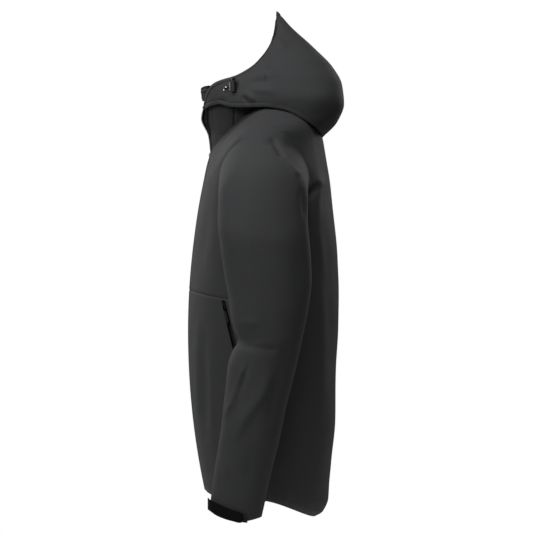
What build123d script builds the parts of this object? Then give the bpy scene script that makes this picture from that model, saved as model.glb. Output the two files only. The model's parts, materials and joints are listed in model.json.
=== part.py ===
"""Hooded hardshell jacket, men's size M/L, as it hangs on an invisible body.

Millimetres. +Z is up, the wearer faces -Y and the wearer's left arm is on +X.
The origin is the bearing point of the hanger loop, inside the back of the neck.
"""
import os
from math import asin, cos, degrees, radians, sin, sqrt

from build123d import *

os.makedirs("parts", exist_ok=True)

# ---------------------------------------------------------------- driving dimensions
fabric = 2.5                    # laminate with its lining and seams
side_seam_y = -65.0             # the side seams lie in this plane
armhole_x = 206.0               # the torso ends here and the sleeve starts just outside it
sleeve_gap = 2.3
chest_half_width = 204.0
hem_half_width = 188.0
collar_half_width = 76.0

# The front zip lies on one long arc from the base of the collar to the hem.
zip_centre = (1230.0, -430.0)   # Y and Z
zip_radius = 1446.0
zip_sink = 3.0                  # the zip lies this far behind the panels' faces
throat_z = -74.0
zip_foot_z = -732.0
front_slot = 17.0               # half the width between the front panels
front_seam_z = -355.0           # seam between the upper and lower front panels

# Zip chain: two coils on two tapes, with room between them for the slider's post.
coil_inner = 1.2
coil_width = 2.0
coil_height = 2.0
tape_thickness = 1.0
slider_length = 13.0
slider_width = 9.0
slider_post = 1.6
pull_length = 36.0

# Hand pockets
pocket_centre = Vector(183.5, -124.5, -449)
pocket_run = Vector(22, 44, -164)       # from the top of the pocket zip to its foot
pocket_zip_length = 172.0
pocket_slot = 17.0

# Sleeves
shoulder = Vector(0, -70, -140)         # the arm swings about the X line through here
armhole_radius = 86.0                   # round, so that the sleeve's root can turn in it
elbow = (-60.0, -440.0)                 # Y and Z of the elbow's axis
elbow_clear = 2.0                       # upper and lower sleeve stay this far from the axis
cuff_centre = (274.0, -119.0)           # X and Y
cuff_half = (38.0, 50.0)
cuff_top_z = -722.0
tab_width = 20.0

# Hood
hood_front_y = -170.0
eyelet_at = Vector(86.8, -144, 37.5)
eyelet_out = Vector(0.827, -0.562, 0)
lock_at = Vector(96.8, -126, 41)
lock_out = Vector(0.907, -0.421, 0)
cord_radius = 1.2
button_travel = 3.0


# ---------------------------------------------------------------- shared helpers
def save(part, name):
    """Label a finished piece and write it."""
    part.label = name
    export_step(part, f"parts/{name}.step")


def save_both(part, name):
    """Write a small left-hand piece and its mirror image as one node of two solids."""
    with BuildPart() as both:
        add(part)
        mirror(part, about=Plane.YZ)
    save(both.part, name)


def save_pair(part, name):
    """Write a left-hand piece and its mirror image for the right-hand side."""
    save(part, "left_" + name)
    with BuildPart() as twin:
        mirror(part, about=Plane.YZ)
    save(twin.part, "right_" + name)


def leaning_plane(y, z, lean=0.0):
    """A level plane at (0, y, z), tipped forward by lean degrees."""
    tip = radians(lean)
    return Plane(origin=(0, y, z), x_dir=(1, 0, 0), z_dir=(0, -sin(tip), cos(tip)))


def surface_plane(point, outward, up=Vector(0, 0, 1)):
    """A plane lying on a surface: local z points outward and local y points up."""
    return Plane(origin=point, x_dir=up.cross(outward).normalized(), z_dir=outward)


def oval(plane, half_width, front, back, inset=0.0):
    """A cross-section made of one half ellipse to the front and one to the back."""
    with BuildSketch(plane) as section:
        with BuildLine():
            EllipticalCenterArc((0, 0), half_width - inset, front - inset, 180, arc_size=180)
            EllipticalCenterArc((0, 0), half_width - inset, back - inset, 0, arc_size=180)
        make_face()
    return section.sketch


def side_region(points, mode, start=-400.0, end=400.0):
    """Cut or keep what lies inside a side-view outline, from X = start to X = end."""
    with BuildSketch(Plane.YZ.offset(start)) as region:
        Polygon(*points, align=None)
    extrude(region.sketch, amount=end - start, mode=mode)


def keep_box(low, high):
    """Keep only what lies between two corners."""
    low, high = Vector(*low), Vector(*high)
    size = high - low
    with Locations((low + high) * 0.5):
        Box(size.X, size.Y, size.Z, mode=Mode.INTERSECT)


# ---------------------------------------------------------------- torso
def front_y(z):
    """The front edge of the torso, on the zip's arc."""
    return zip_centre[0] - sqrt(zip_radius**2 - (z - zip_centre[1])**2)


# Height of the section's middle, back Y, half width and forward lean
torso_stations = [
    (-800, 40, hem_half_width - 4, 0),
    (-690, 62, hem_half_width + 4, 0),
    (-560, 68, 198, 0),
    (-460, 71, 202, 0),
    (-350, 74, chest_half_width, 0),
    (-210, 65, chest_half_width, 0),
    (-130, 56, 200, 4),
    (-80, 44, 165, 10),
]
neck_lean = 23.5
neck_middle = (-82.0, -25.0)
neck_half_deep = 92.0


def torso_sections(inset):
    """The cross-sections of the torso from below the hem to the neck seam."""
    sections = []
    for z, back_y, half_width, lean in torso_stations:
        front = (side_seam_y - front_y(z)) / cos(radians(lean))
        back = (back_y - side_seam_y) / cos(radians(lean))
        sections.append(oval(leaning_plane(side_seam_y, z, lean), half_width, front, back, inset))
    sections.append(oval(leaning_plane(side_seam_y - 6, -43, 18), 118, 99, 86, inset))
    neck_plane = leaning_plane(*neck_middle, neck_lean)
    sections.append(oval(neck_plane, collar_half_width, neck_half_deep, neck_half_deep, inset))
    return sections


def armhole_barrel(inset, mode):
    """A round sleeve of cloth from armhole to armhole that carries the shoulders."""
    with BuildSketch(Plane.YZ.offset(-armhole_x)) as armhole:
        with Locations((shoulder.Y, shoulder.Z)):
            Circle(armhole_radius - inset)
    extrude(armhole.sketch, amount=2 * armhole_x, mode=mode)


hem_line = [(-250, -740), (-60, -734), (-10, -757), (29, -779), (90, -776)]
below_hem = hem_line + [(90, -900), (-250, -900)]

with BuildPart() as torso_shell:
    loft(torso_sections(0), ruled=True)
    armhole_barrel(0, Mode.ADD)
    loft(torso_sections(fabric), ruled=True, mode=Mode.SUBTRACT)
    armhole_barrel(fabric, Mode.SUBTRACT)
    side_region(below_hem, Mode.SUBTRACT)
    with Locations((0, -200, -400)):
        Box(2 * front_slot, 200, 900, mode=Mode.SUBTRACT)

pocket_out = Vector(0.861, -0.507, -0.0207).normalized()
pocket_plane = surface_plane(pocket_centre, pocket_out, up=-pocket_run.normalized())
reach = 500.0

with BuildPart() as front_upper_panel:
    add(torso_shell.part)
    keep_box((0, -reach, front_seam_z), (reach, side_seam_y, reach))
save_pair(front_upper_panel.part, "front_upper_panel")

with BuildPart() as front_lower_panel:
    add(torso_shell.part)
    keep_box((0, -reach, -900), (reach, side_seam_y, front_seam_z))
    with Locations(pocket_plane):
        Box(pocket_slot, pocket_zip_length + 4, 40, mode=Mode.SUBTRACT)
save_pair(front_lower_panel.part, "front_lower_panel")

with BuildPart() as back_panel:
    add(torso_shell.part)
    keep_box((-reach, side_seam_y, -900), (reach, reach, reach))
save(back_panel.part, "back_panel")

# A tape that faces the inside of the hem, just above its edge
hem_tape_foot = 2.0
hem_tape_top = 24.0
hem_tape_thickness = 1.2
with BuildPart() as hem_facing:
    loft(torso_sections(fabric + 0.1), ruled=True)
    loft(torso_sections(fabric + 0.1 + hem_tape_thickness), ruled=True, mode=Mode.SUBTRACT)
    side_region([(y, z + hem_tape_foot) for y, z in below_hem], Mode.SUBTRACT)
    side_region([(y, z + hem_tape_top) for y, z in hem_line] + [(90, 200), (-250, 200)], Mode.SUBTRACT)
    with Locations((0, -200, -400)):
        Box(60, 200, 900, mode=Mode.SUBTRACT)
save(hem_facing.part, "hem_facing")


# ---------------------------------------------------------------- collar and hanger loop
# Middle Y and Z of each section, its forward lean, half width and half depth
collar_stations = [
    (*neck_middle, neck_lean, collar_half_width, neck_half_deep),
    (-94, 12.5, 13, 74, 97),
    (-95, 48, 8, 72, 96),
]


def collar_sections(inset):
    """The cross-sections of the stand-up collar."""
    return [
        oval(leaning_plane(y, z, lean), half_width, half_deep, half_deep, inset)
        for y, z, lean, half_width, half_deep in collar_stations
    ]


# The collar's front is open above the zip: a narrow V between its two halves.
collar_gap_low = 18.0
collar_gap_high = 31.0
collar_edge_dir = Vector(0, -21, 103).normalized()
collar_front_plane = Plane(
    origin=(0, -167, -66), x_dir=(1, 0, 0), z_dir=Vector(1, 0, 0).cross(collar_edge_dir)
)
collar_edge_length = 101.0

with BuildPart() as collar_half:
    loft(collar_sections(0), ruled=True)
    loft(collar_sections(fabric), ruled=True, mode=Mode.SUBTRACT)
    keep_box((0, -reach, -reach), (reach, reach, reach))
    with BuildSketch(Plane.XZ.offset(100)):
        Polygon((-1, -120), (collar_gap_low - 3, -120), (collar_gap_high, 60), (-1, 60), align=None)
    extrude(amount=200, mode=Mode.SUBTRACT)
save_pair(collar_half.part, "collar")

with BuildPart() as collar_zip_tape:
    with BuildSketch(collar_front_plane):
        Polygon(
            (collar_gap_low - 14, 3), (collar_gap_low - 3, 3),
            (collar_gap_high - 3, collar_edge_length), (collar_gap_high - 14, collar_edge_length),
            align=None,
        )
    extrude(amount=tape_thickness)
save_pair(collar_zip_tape.part, "collar_zip_tape")

# Brushed lining behind the chin
with BuildPart() as chin_guard:
    loft(collar_sections(fabric + 0.2), ruled=True)
    loft(collar_sections(fabric + 2.0), ruled=True, mode=Mode.SUBTRACT)
    keep_box((20, -reach, 2), (reach, -150, 36))
    with BuildSketch(Plane.XZ.offset(100)):
        Polygon((-1, -120), (collar_gap_low, -120), (collar_gap_high + 3, 60), (-1, 60), align=None)
    extrude(amount=200, mode=Mode.SUBTRACT)
save_both(chin_guard.part, "chin_guards")

# The hanger loop: a ribbon arch whose underside carries the jacket at the origin
loop_ribbon = 1.2
loop_half_span = 24.0
loop_rise = 12.0
with BuildPart() as hanger_loop:
    with BuildSketch(Plane.XZ.offset(2)):
        with BuildLine():
            ThreePointArc((-loop_half_span, -loop_rise), (0, 0), (loop_half_span, -loop_rise))
            Line((loop_half_span, -loop_rise), (loop_half_span + 1, -loop_rise + loop_ribbon))
            ThreePointArc(
                (loop_half_span + 1, -loop_rise + loop_ribbon),
                (0, loop_ribbon),
                (-loop_half_span - 1, -loop_rise + loop_ribbon),
            )
            Line((-loop_half_span - 1, -loop_rise + loop_ribbon), (-loop_half_span, -loop_rise))
        make_face()
    extrude(amount=6)
save(hanger_loop.part, "hanger_loop")

# The tape over the back neck seam that the loop is sewn to
with BuildPart() as neck_tape:
    with BuildSketch(leaning_plane(*neck_middle, neck_lean)):
        Ellipse(collar_half_width - fabric - 0.6, neck_half_deep - fabric - 2.6)
        Ellipse(collar_half_width - fabric - 1.8, neck_half_deep - fabric - 3.8, mode=Mode.SUBTRACT)
    extrude(amount=9)
    keep_box((-reach, -60, -reach), (reach, reach, reach))
    with Locations((0, -9, -6)):
        Box(2 * loop_half_span + 6, 16, 16, mode=Mode.SUBTRACT)
save(neck_tape.part, "neck_tape")


# ---------------------------------------------------------------- front zip
def zip_angle(z):
    """Angle on the zip's arc of a height on the front."""
    return degrees(asin((z - zip_centre[1]) / zip_radius))


def zip_arc_plane(angle):
    """The radial plane at an angle of the arc: local x is the radius, local y is +X."""
    turn = radians(angle)
    return Plane(
        origin=(0, *zip_centre), x_dir=(0, -cos(turn), sin(turn)), z_dir=(0, sin(turn), cos(turn))
    )


def zip_front_plane(angle):
    """The plane on the zip's front face at an angle of the arc, local y up the zip."""
    turn = radians(angle)
    out = Vector(0, -cos(turn), sin(turn))
    return surface_plane(Vector(0, *zip_centre) + out * zip_face_radius, out)


zip_axis = Axis((0, *zip_centre), (1, 0, 0))
zip_face_radius = zip_radius - zip_sink


def along_front(x_low, x_high, depth_low, depth_high, z_top, z_foot):
    """A strip that follows the front's arc, between two depths from the zip's face."""
    top = zip_angle(z_top)
    with BuildSketch(zip_arc_plane(top)) as strip:
        with Locations((zip_face_radius + (depth_low + depth_high) / 2, (x_low + x_high) / 2)):
            Rectangle(depth_high - depth_low, x_high - x_low)
    revolve(strip.sketch, axis=zip_axis, revolution_arc=top - zip_angle(z_foot))


with BuildPart() as front_tape:
    along_front(coil_inner, front_slot, -0.2 - tape_thickness, -0.2, throat_z - 2, zip_foot_z)
save_pair(front_tape.part, "front_zip_tape")

with BuildPart() as front_coil:
    along_front(coil_inner, coil_inner + coil_width, -0.2, coil_height - 0.2, throat_z - 2, zip_foot_z + 12)
save_pair(front_coil.part, "front_zip_coil")

storm_flap_half = 23.0
with BuildPart() as storm_flap:
    along_front(-storm_flap_half, storm_flap_half, -6.4, -4.6, throat_z - 22, zip_foot_z + 4)
save(storm_flap.part, "storm_flap")

zip_box_height = 11.0
with BuildPart() as zip_box:
    with Locations(zip_front_plane(zip_angle(zip_foot_z + zip_box_height / 2))):
        with Locations((0, 0, 0.9)):
            Box(9, zip_box_height, 2.2)
        fillet(zip_box.edges().filter_by(Axis.X, reverse=True).sort_by(Axis.Y)[:2], 0.6)
save(zip_box.part, "front_zip_box")

with BuildPart() as zip_pin:
    with Locations(zip_front_plane(zip_angle(zip_foot_z + zip_box_height + 8))):
        with Locations((coil_inner + coil_width + 1.4, 0, 0.6)):
            Box(1.6, 15, 1.6)
save(zip_pin.part, "front_zip_pin")


def slider_body(plane):
    """A zip slider on its surface plane: two plates, the post between and the pull's arch."""
    with Locations(plane):
        with Locations((0, 0, -2.35)):
            Box(slider_width, slider_length, 1.3)
        with Locations((0, 0, 3.0)):
            Box(slider_width, slider_length, 1.4)
        with Locations((0, 3, 0)):
            Box(slider_post, 4, 5)
        with Locations((0, 0, 5.2)):
            Box(2.4, 6.4, 3.2)
        with Locations((0, 0, 4.6)):
            Box(2.4, 4.0, 1.8, mode=Mode.SUBTRACT)


def slider_pull(plane, length):
    """The pull on its cross bar, lying down along the zip."""
    with Locations(plane):
        with Locations(Location((0, 0, 4.7), (0, 90, 0))):
            Cylinder(0.6, 7.4)
        with Locations((2.95, -4.5, 4.7), (-2.95, -4.5, 4.7)):
            Box(1.5, 9, 1.6)
        with Locations((0, -9 - (length - 9) / 2, 4.7)):
            Box(7.4, length - 9, 1.6)


slider_rest_angle = zip_angle(throat_z - 10)
with BuildPart() as front_slider:
    slider_body(zip_front_plane(slider_rest_angle))
save(front_slider.part, "front_zip_slider")

with BuildPart() as front_pull:
    slider_pull(zip_front_plane(slider_rest_angle), pull_length)
save(front_pull.part, "front_zip_pull")

# ---------------------------------------------------------------- hand pockets
with BuildPart() as pocket_tape:
    with Locations(pocket_plane):
        for side in (-1, 1):
            width = pocket_slot / 2 - coil_inner
            with Locations((side * (coil_inner + width / 2), 0, -0.7)):
                Box(width, pocket_zip_length + 4, tape_thickness)
save_pair(pocket_tape.part, "pocket_zip_tape")

with BuildPart() as pocket_coil:
    with Locations(pocket_plane):
        for side in (-1, 1):
            with Locations((side * (coil_inner + coil_width / 2), 0, -0.2 + coil_height / 2)):
                Box(coil_width, pocket_zip_length - 8, coil_height)
save_pair(pocket_coil.part, "pocket_zip_coil")

pocket_slider_up = pocket_zip_length / 2 - 12
pocket_slider_plane = surface_plane(
    pocket_centre - pocket_run.normalized() * pocket_slider_up, pocket_out, up=-pocket_run.normalized()
)
with BuildPart() as pocket_slider:
    slider_body(pocket_slider_plane)
save_pair(pocket_slider.part, "pocket_zip_slider")

with BuildPart() as pocket_pull:
    slider_pull(pocket_slider_plane, pull_length - 6)
save_pair(pocket_pull.part, "pocket_zip_pull")

# The flat pocket bag hangs inside the front panel, forward of the zip.
bag_plane = Plane(origin=(100, -152, -470), x_dir=(0.896, 0.444, 0), z_dir=(0.444, -0.896, 0))
with BuildPart() as pocket_bag:
    with BuildSketch(bag_plane):
        RectangleRounded(124, 196, 24)
    extrude(amount=3, both=True)
save_pair(pocket_bag.part, "pocket_bag")

# ---------------------------------------------------------------- sleeves
# X, Y and Z of the middle, tip of the section from level, half across and half deep
sleeve_root_x = armhole_x + sleeve_gap
sleeve_stations = [
    (sleeve_root_x, shoulder.Y, shoulder.Z, 90, armhole_radius - 0.1, armhole_radius),
    (247, -72, -178, 55, 65, 82),
    (261, -72, -217, 20, 54, 82),
    (267, -70, -260, 0, 57, 81),
    (269, -64, -315, 0, 58, 79),
    (270, -61, -370, 0, 57, 72),
    (270, -60, -440, 0, 54, 59),
    (272, -78, -509, 0, 51, 61),
    (274, -97, -620, 0, 45, 54),
    (274, -119, cuff_top_z, 0, 37, 49),
]


def sleeve_sections(inset):
    """The cross-sections of the left sleeve from the armhole to the cuff."""
    sections = []
    for x, y, z, tip, half_across, half_deep in sleeve_stations:
        turn = radians(tip)
        plane = Plane(origin=(x, y, z), x_dir=(cos(turn), 0, sin(turn)), z_dir=(-sin(turn), 0, cos(turn)))
        sections.append(oval(plane, half_across, half_deep, half_deep, inset))
    return sections


def sleeve_volume(inset, mode):
    """The filled sleeve: its cap first, then the arm down to the cuff."""
    sections = sleeve_sections(inset)
    loft(sections[:2], ruled=True, mode=mode)
    loft(sections[1:], ruled=True, mode=mode)


with BuildPart() as sleeve_shell:
    sleeve_volume(0, Mode.ADD)
    sleeve_volume(fabric, Mode.SUBTRACT)

# The elbow's cloth fills a bow-tie about the axis; the sleeve above and below it is stiff.
front_reach = 160.0
front_rise = 99.0               # 32 degrees each side: room for a 60 degree bend
back_reach = 120.0
back_rise = 20.0                # 9 degrees each side: room to straighten by 15 degrees
elbow_y, elbow_z = elbow
above_elbow = [
    (elbow_y - front_reach, elbow_z + front_rise),
    (elbow_y, elbow_z + elbow_clear),
    (elbow_y + back_reach, elbow_z + back_rise),
]
below_elbow = [(y, 2 * elbow_z - z) for y, z in above_elbow]

with BuildPart() as upper_sleeve:
    add(sleeve_shell.part)
    side_region(above_elbow + [(150, 0), (-300, 0)], Mode.INTERSECT)
save_pair(upper_sleeve.part, "upper_sleeve")

with BuildPart() as forearm_sleeve:
    add(sleeve_shell.part)
    side_region(below_elbow + [(150, -900), (-300, -900)], Mode.INTERSECT)
save_pair(forearm_sleeve.part, "forearm_sleeve")

with BuildPart() as elbow_fabric:
    add(sleeve_shell.part)
    side_region(above_elbow + below_elbow[::-1], Mode.INTERSECT)
save_pair(elbow_fabric.part, "elbow_fabric")


# ---------------------------------------------------------------- cuffs
def cuff_ring(low, high, top_z, height):
    """A band round the cuff between two distances out from its surface."""
    with BuildSketch(Plane.XY.offset(top_z)) as band:
        with Locations(cuff_centre):
            Ellipse(cuff_half[0] + high, cuff_half[1] + high)
            Ellipse(cuff_half[0] + low, cuff_half[1] + low, mode=Mode.SUBTRACT)
    extrude(band.sketch, amount=-height)


cuff_foot = [(-190, -747), (-119, -758), (-50, -756)]
below_cuff = cuff_foot + [(-50, -850), (-190, -850)]
tab_top = [(-190, -724), (-104, -741)]
tab_start_x = 282.0
tab_end_y = -106.0

with BuildPart() as cuff:
    cuff_ring(-fabric - 1, 0, cuff_top_z, 60)
    side_region(below_cuff, Mode.SUBTRACT)
save_pair(cuff.part, "cuff")


def tab_strip(low, high, start_y, end_y, shrink):
    """A length of strap that follows the cuff's outer front quarter."""
    cuff_ring(low, high, cuff_top_z, 60)
    top = [(y, z - shrink) for y, z in tab_top]
    foot = [(tab_end_y + 2, tab_top[1][1] - 15 + shrink), (-190, tab_top[0][1] - tab_width + shrink)]
    side_region(top + foot, Mode.INTERSECT)
    keep_box((tab_start_x, start_y, -reach - 400), (reach, end_y, 0))


with BuildPart() as cuff_loop_strip:
    tab_strip(0, 1.0, -165, tab_end_y - 6, 2)
save_pair(cuff_loop_strip.part, "cuff_loop_strip")

with BuildPart() as cuff_hook_patch:
    tab_strip(1.3, 2.1, -140, tab_end_y - 3, 2)
save_pair(cuff_hook_patch.part, "cuff_hook_patch")

with BuildPart() as cuff_tab:
    tab_strip(2.1, 4.1, -180, tab_end_y, 0)
save_pair(cuff_tab.part, "cuff_tab")

# ---------------------------------------------------------------- hood
# Height, Y of the widest point, half width, and the reach to the front and to the back
hood_stations = [
    (-60, -45, 116, 120, 78),
    (-17, -45, 124, 136, 119),
    (14, -45, 124, 144, 129),
    (49, -45, 112, 151, 125),
    (86, -45, 84, 118, 105),
    (129, -45, 48, 62, 65),
    (174, -44, 14, 16, 18),
    (196, -47, 4, 4, 4),
]


def hood_sections(inset):
    """The level cross-sections of the hood, from below its rim to its peak."""
    return [
        oval(leaning_plane(y, z), half_width, front, back, inset)
        for z, y, half_width, front, back in hood_stations
    ]


face_opening = [
    (-43, 200), (-48, 174), (-50, 152), (-61, 129), (-79, 103), (-107, 79), (-145, 62),
    (-182, 54), (-300, 50), (-300, 260), (-43, 260),
]
under_rim = [(-300, 8), (-115, 10), (-40, 8), (-12, -2), (23, -20), (45, -38), (120, -38), (120, -200), (-300, -200)]

with BuildPart() as hood_panel:
    loft(hood_sections(0), ruled=True)
    loft(hood_sections(fabric), ruled=True, mode=Mode.SUBTRACT)
    side_region(face_opening, Mode.SUBTRACT)
    side_region(under_rim, Mode.SUBTRACT)
    keep_box((0, hood_front_y, -reach), (reach, reach, reach))
    with Locations(surface_plane(eyelet_at, eyelet_out)):
        Cylinder(3.8, 30, mode=Mode.SUBTRACT)
save_pair(hood_panel.part, "hood_panel")

# The band that joins the hood to the neck seam, outside the collar
with BuildPart() as hood_band:
    with BuildSketch(leaning_plane(neck_middle[0], neck_middle[1] + 6, neck_lean - 8)):
        Ellipse(collar_half_width + 9, neck_half_deep + 9)
        Ellipse(collar_half_width + 7, neck_half_deep + 7, mode=Mode.SUBTRACT)
    extrude(amount=12)
    keep_box((-reach, -150, -reach), (reach, reach, reach))
save(hood_band.part, "hood_neck_band")

# ---------------------------------------------------------------- hood adjusters
eyelet_plane = surface_plane(eyelet_at, eyelet_out)
lock_plane = surface_plane(lock_at, lock_out)

with BuildPart() as eyelet:
    with BuildSketch(eyelet_plane.offset(0.6)):
        Circle(5.0)
    extrude(amount=1.2)
    with BuildSketch(eyelet_plane.offset(-4)):
        Circle(3.5)
    extrude(amount=5)
    with Locations(eyelet_plane):
        Cylinder(2.2, 30, mode=Mode.SUBTRACT)
save_both(eyelet.part, "hood_eyelets")

barrel_size = (10.0, 20.0, 8.0)
barrel_lift = 6.0               # from the hood's surface to the middle of the barrel
plunger_radius = 2.9
plunger_reach = 12.0
barrel_plane = lock_plane.offset(barrel_lift)

with BuildPart() as lock_barrel:
    with Locations(barrel_plane):
        Box(*barrel_size)
    fillet(lock_barrel.edges().group_by(SortBy.LENGTH)[-1], 2.0)
    bore_plane = Plane(origin=barrel_plane.from_local_coords((0, 10, 0)), z_dir=-barrel_plane.y_dir)
    with BuildSketch(bore_plane):
        Circle(plunger_radius + 0.3)
    extrude(amount=barrel_size[1] - 3, mode=Mode.SUBTRACT)
    with Locations(barrel_plane * Location((0, 0, 0), (0, 90, 0))):
        Cylinder(cord_radius + 0.3, 30, mode=Mode.SUBTRACT)
save_pair(lock_barrel.part, "cord_lock_barrel")

with BuildPart() as lock_button:
    top_plane = Plane(origin=barrel_plane.from_local_coords((0, 10.2 + button_travel, 0)), z_dir=barrel_plane.y_dir)
    with BuildSketch(top_plane):
        Circle(3.9)
    extrude(amount=2.6)
    with BuildSketch(top_plane):
        Circle(plunger_radius)
    extrude(amount=-plunger_reach - button_travel)
    with Locations(barrel_plane.location * Location((0, 1.5, 0))):
        Box(20, 6.6, 3.2, mode=Mode.SUBTRACT)
save_pair(lock_button.part, "cord_lock_button")

with BuildPart() as lock_spring:
    spring_plane = Plane(origin=barrel_plane.from_local_coords((0, -6.6, 0)), z_dir=barrel_plane.y_dir)
    with BuildLine(spring_plane) as spring_path:
        Helix(pitch=1.1, height=3.9, radius=2.2)
    with BuildSketch(spring_path.line ^ 0):
        Circle(0.25)
    sweep()
save_pair(lock_spring.part, "cord_lock_spring")

with BuildPart() as lock_plate:
    with Locations(barrel_plane.location * Location((-5.9, 0, 0))):
        Box(1.8, 15, 7)
    with Locations(barrel_plane * Location((0, 0, 0), (0, 90, 0))):
        Cylinder(cord_radius + 0.3, 30, mode=Mode.SUBTRACT)
save_both(lock_plate.part, "cord_lock_plates")

with BuildPart() as hood_cord:
    with BuildLine() as cord_path:
        FilletPolyline(
            eyelet_plane.from_local_coords((0, 0, -6)),
            eyelet_plane.from_local_coords((0, 0, 5)),
            barrel_plane.from_local_coords((-6, 0, 0)),
            barrel_plane.from_local_coords((6, 0, 0)),
            radius=2.0,
        )
    with BuildSketch(cord_path.line ^ 0):
        Circle(cord_radius)
    sweep()
save_pair(hood_cord.part, "hood_cord")
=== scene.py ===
"""Looks of the hooded hardshell jacket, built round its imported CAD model.

Shapes are worked out in millimetres in the model's own frame (+Z up, the wearer faces -Y,
the wearer's left arm is on +X) and turned into metres when a mesh is made.
"""
import json
import math

import bpy
import numpy as np
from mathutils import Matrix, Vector


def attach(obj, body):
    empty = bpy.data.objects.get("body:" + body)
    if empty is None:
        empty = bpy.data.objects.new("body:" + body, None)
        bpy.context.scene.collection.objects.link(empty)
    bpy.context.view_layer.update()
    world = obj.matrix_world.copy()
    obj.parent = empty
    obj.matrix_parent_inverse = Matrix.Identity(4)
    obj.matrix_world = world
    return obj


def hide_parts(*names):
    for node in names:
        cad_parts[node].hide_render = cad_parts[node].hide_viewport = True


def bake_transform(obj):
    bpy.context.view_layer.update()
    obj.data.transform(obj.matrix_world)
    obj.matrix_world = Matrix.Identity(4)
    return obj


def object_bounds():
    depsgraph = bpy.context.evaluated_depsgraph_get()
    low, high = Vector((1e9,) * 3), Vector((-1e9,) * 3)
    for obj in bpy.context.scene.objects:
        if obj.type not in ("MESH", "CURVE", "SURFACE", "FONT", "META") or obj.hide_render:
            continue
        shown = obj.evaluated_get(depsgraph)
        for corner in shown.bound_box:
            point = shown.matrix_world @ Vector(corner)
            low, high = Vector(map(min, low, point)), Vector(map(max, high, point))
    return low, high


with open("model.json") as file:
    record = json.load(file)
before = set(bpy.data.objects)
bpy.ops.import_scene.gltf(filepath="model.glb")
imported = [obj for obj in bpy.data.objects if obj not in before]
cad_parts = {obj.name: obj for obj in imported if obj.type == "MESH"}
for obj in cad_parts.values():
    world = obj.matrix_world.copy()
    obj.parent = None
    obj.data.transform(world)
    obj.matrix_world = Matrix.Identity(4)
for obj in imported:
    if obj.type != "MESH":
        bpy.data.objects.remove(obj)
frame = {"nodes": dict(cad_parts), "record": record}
cad_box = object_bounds()
MM = 0.001
LEFT, RIGHT = 1, -1
SIDE_NAME = {LEFT: "left", RIGHT: "right"}
SIDES = SIDE_NAME.items()


# ---------------- camera, stage and light
LENS = 138.5
CAMERA_X = 4.0
CAMERA_DROP = 0.0098            # how far the lens's axis lies below the middle of the jacket
FLOOR_HALF, FLOOR_DROP = 0.9, 0.27


def link_object(name, data):
    thing = bpy.data.objects.new(name, data)
    bpy.context.scene.collection.objects.link(thing)
    return thing


def aim(thing, place, target):
    """Put a light or a camera somewhere and point it at a place, with its top upward."""
    thing.location = place
    away = Vector(target) - thing.location
    thing.rotation_euler = away.to_track_quat("-Z", "Y").to_euler()


def add_camera():
    """A long lens level with the middle of the jacket, looking at its left side."""
    low, high = cad_box
    middle = (low + high) / 2
    data = bpy.data.cameras.new("camera")
    data.lens = LENS
    data.sensor_width = 36.0
    camera = link_object("camera", data)
    level = middle.z - CAMERA_DROP
    aim(camera, (CAMERA_X, middle.y, level), (0, middle.y, level))
    bpy.context.scene.camera = camera


def add_light(name, place, target, size, power):
    """One soft square light."""
    data = bpy.data.lights.new(name, "AREA")
    data.shape = "SQUARE"
    data.size = size
    data.energy = power
    aim(link_object(name, data), place, target)


def add_world(backdrop, fill):
    """White behind the jacket, and a weaker even fill for everything but the camera."""
    world = bpy.data.worlds.new("studio")
    bpy.context.scene.world = world
    world.use_nodes = True
    nodes, links = world.node_tree.nodes, world.node_tree.links
    background = nodes["Background"]
    path = nodes.new("ShaderNodeLightPath")
    level = nodes.new("ShaderNodeMapRange")
    level.inputs["To Min"].default_value = fill
    level.inputs["To Max"].default_value = backdrop
    links.new(path.outputs["Is Camera Ray"], level.inputs["Value"])
    links.new(level.outputs["Result"], background.inputs["Strength"])
    background.inputs["Color"].default_value = (1, 1, 1, 1)


def add_floor():
    """A pale floor well below the hem."""
    z = cad_box[0].z - FLOOR_DROP
    mesh = bpy.data.meshes.new("floor")
    corners = [(x * FLOOR_HALF, y * FLOOR_HALF, z) for x, y in ((-1, -1), (1, -1), (1, 1), (-1, 1))]
    mesh.from_pydata(corners, [], [(0, 1, 2, 3)])
    floor = link_object("floor", mesh)
    material = bpy.data.materials.new("pale_floor")
    material.use_nodes = True
    shader = material.node_tree.nodes["Principled BSDF"]
    shader.inputs["Base Color"].default_value = (0.9, 0.9, 0.9, 1)
    shader.inputs["Roughness"].default_value = 0.9
    mesh.materials.append(material)


add_camera()
add_world(backdrop=1.0, fill=0.068)
add_floor()
add_light("key", (1.5, -1.5, 0.9), (0.15, -0.1, 0.0), 0.6, 14)
add_light("high_front", (0.8, -1.2, 1.9), (0.1, -0.1, -0.1), 0.9, 11)
add_light("overhead", (1.2, 0.1, 2.4), (0.1, -0.05, -0.1), 1.2, 22)
add_light("side", (3.2, -0.6, 1.2), (0.1, -0.05, -0.3), 1.2, 5)
add_light("far_front", (-2.3, -1.9, 0.6), (0.0, -0.1, -0.3), 1.0, 15)
add_light("far_back", (-2.7, 1.4, 0.9), (0.0, 0.0, -0.3), 1.0, 15)
bpy.context.scene.view_settings.view_transform = "Standard"


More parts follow.
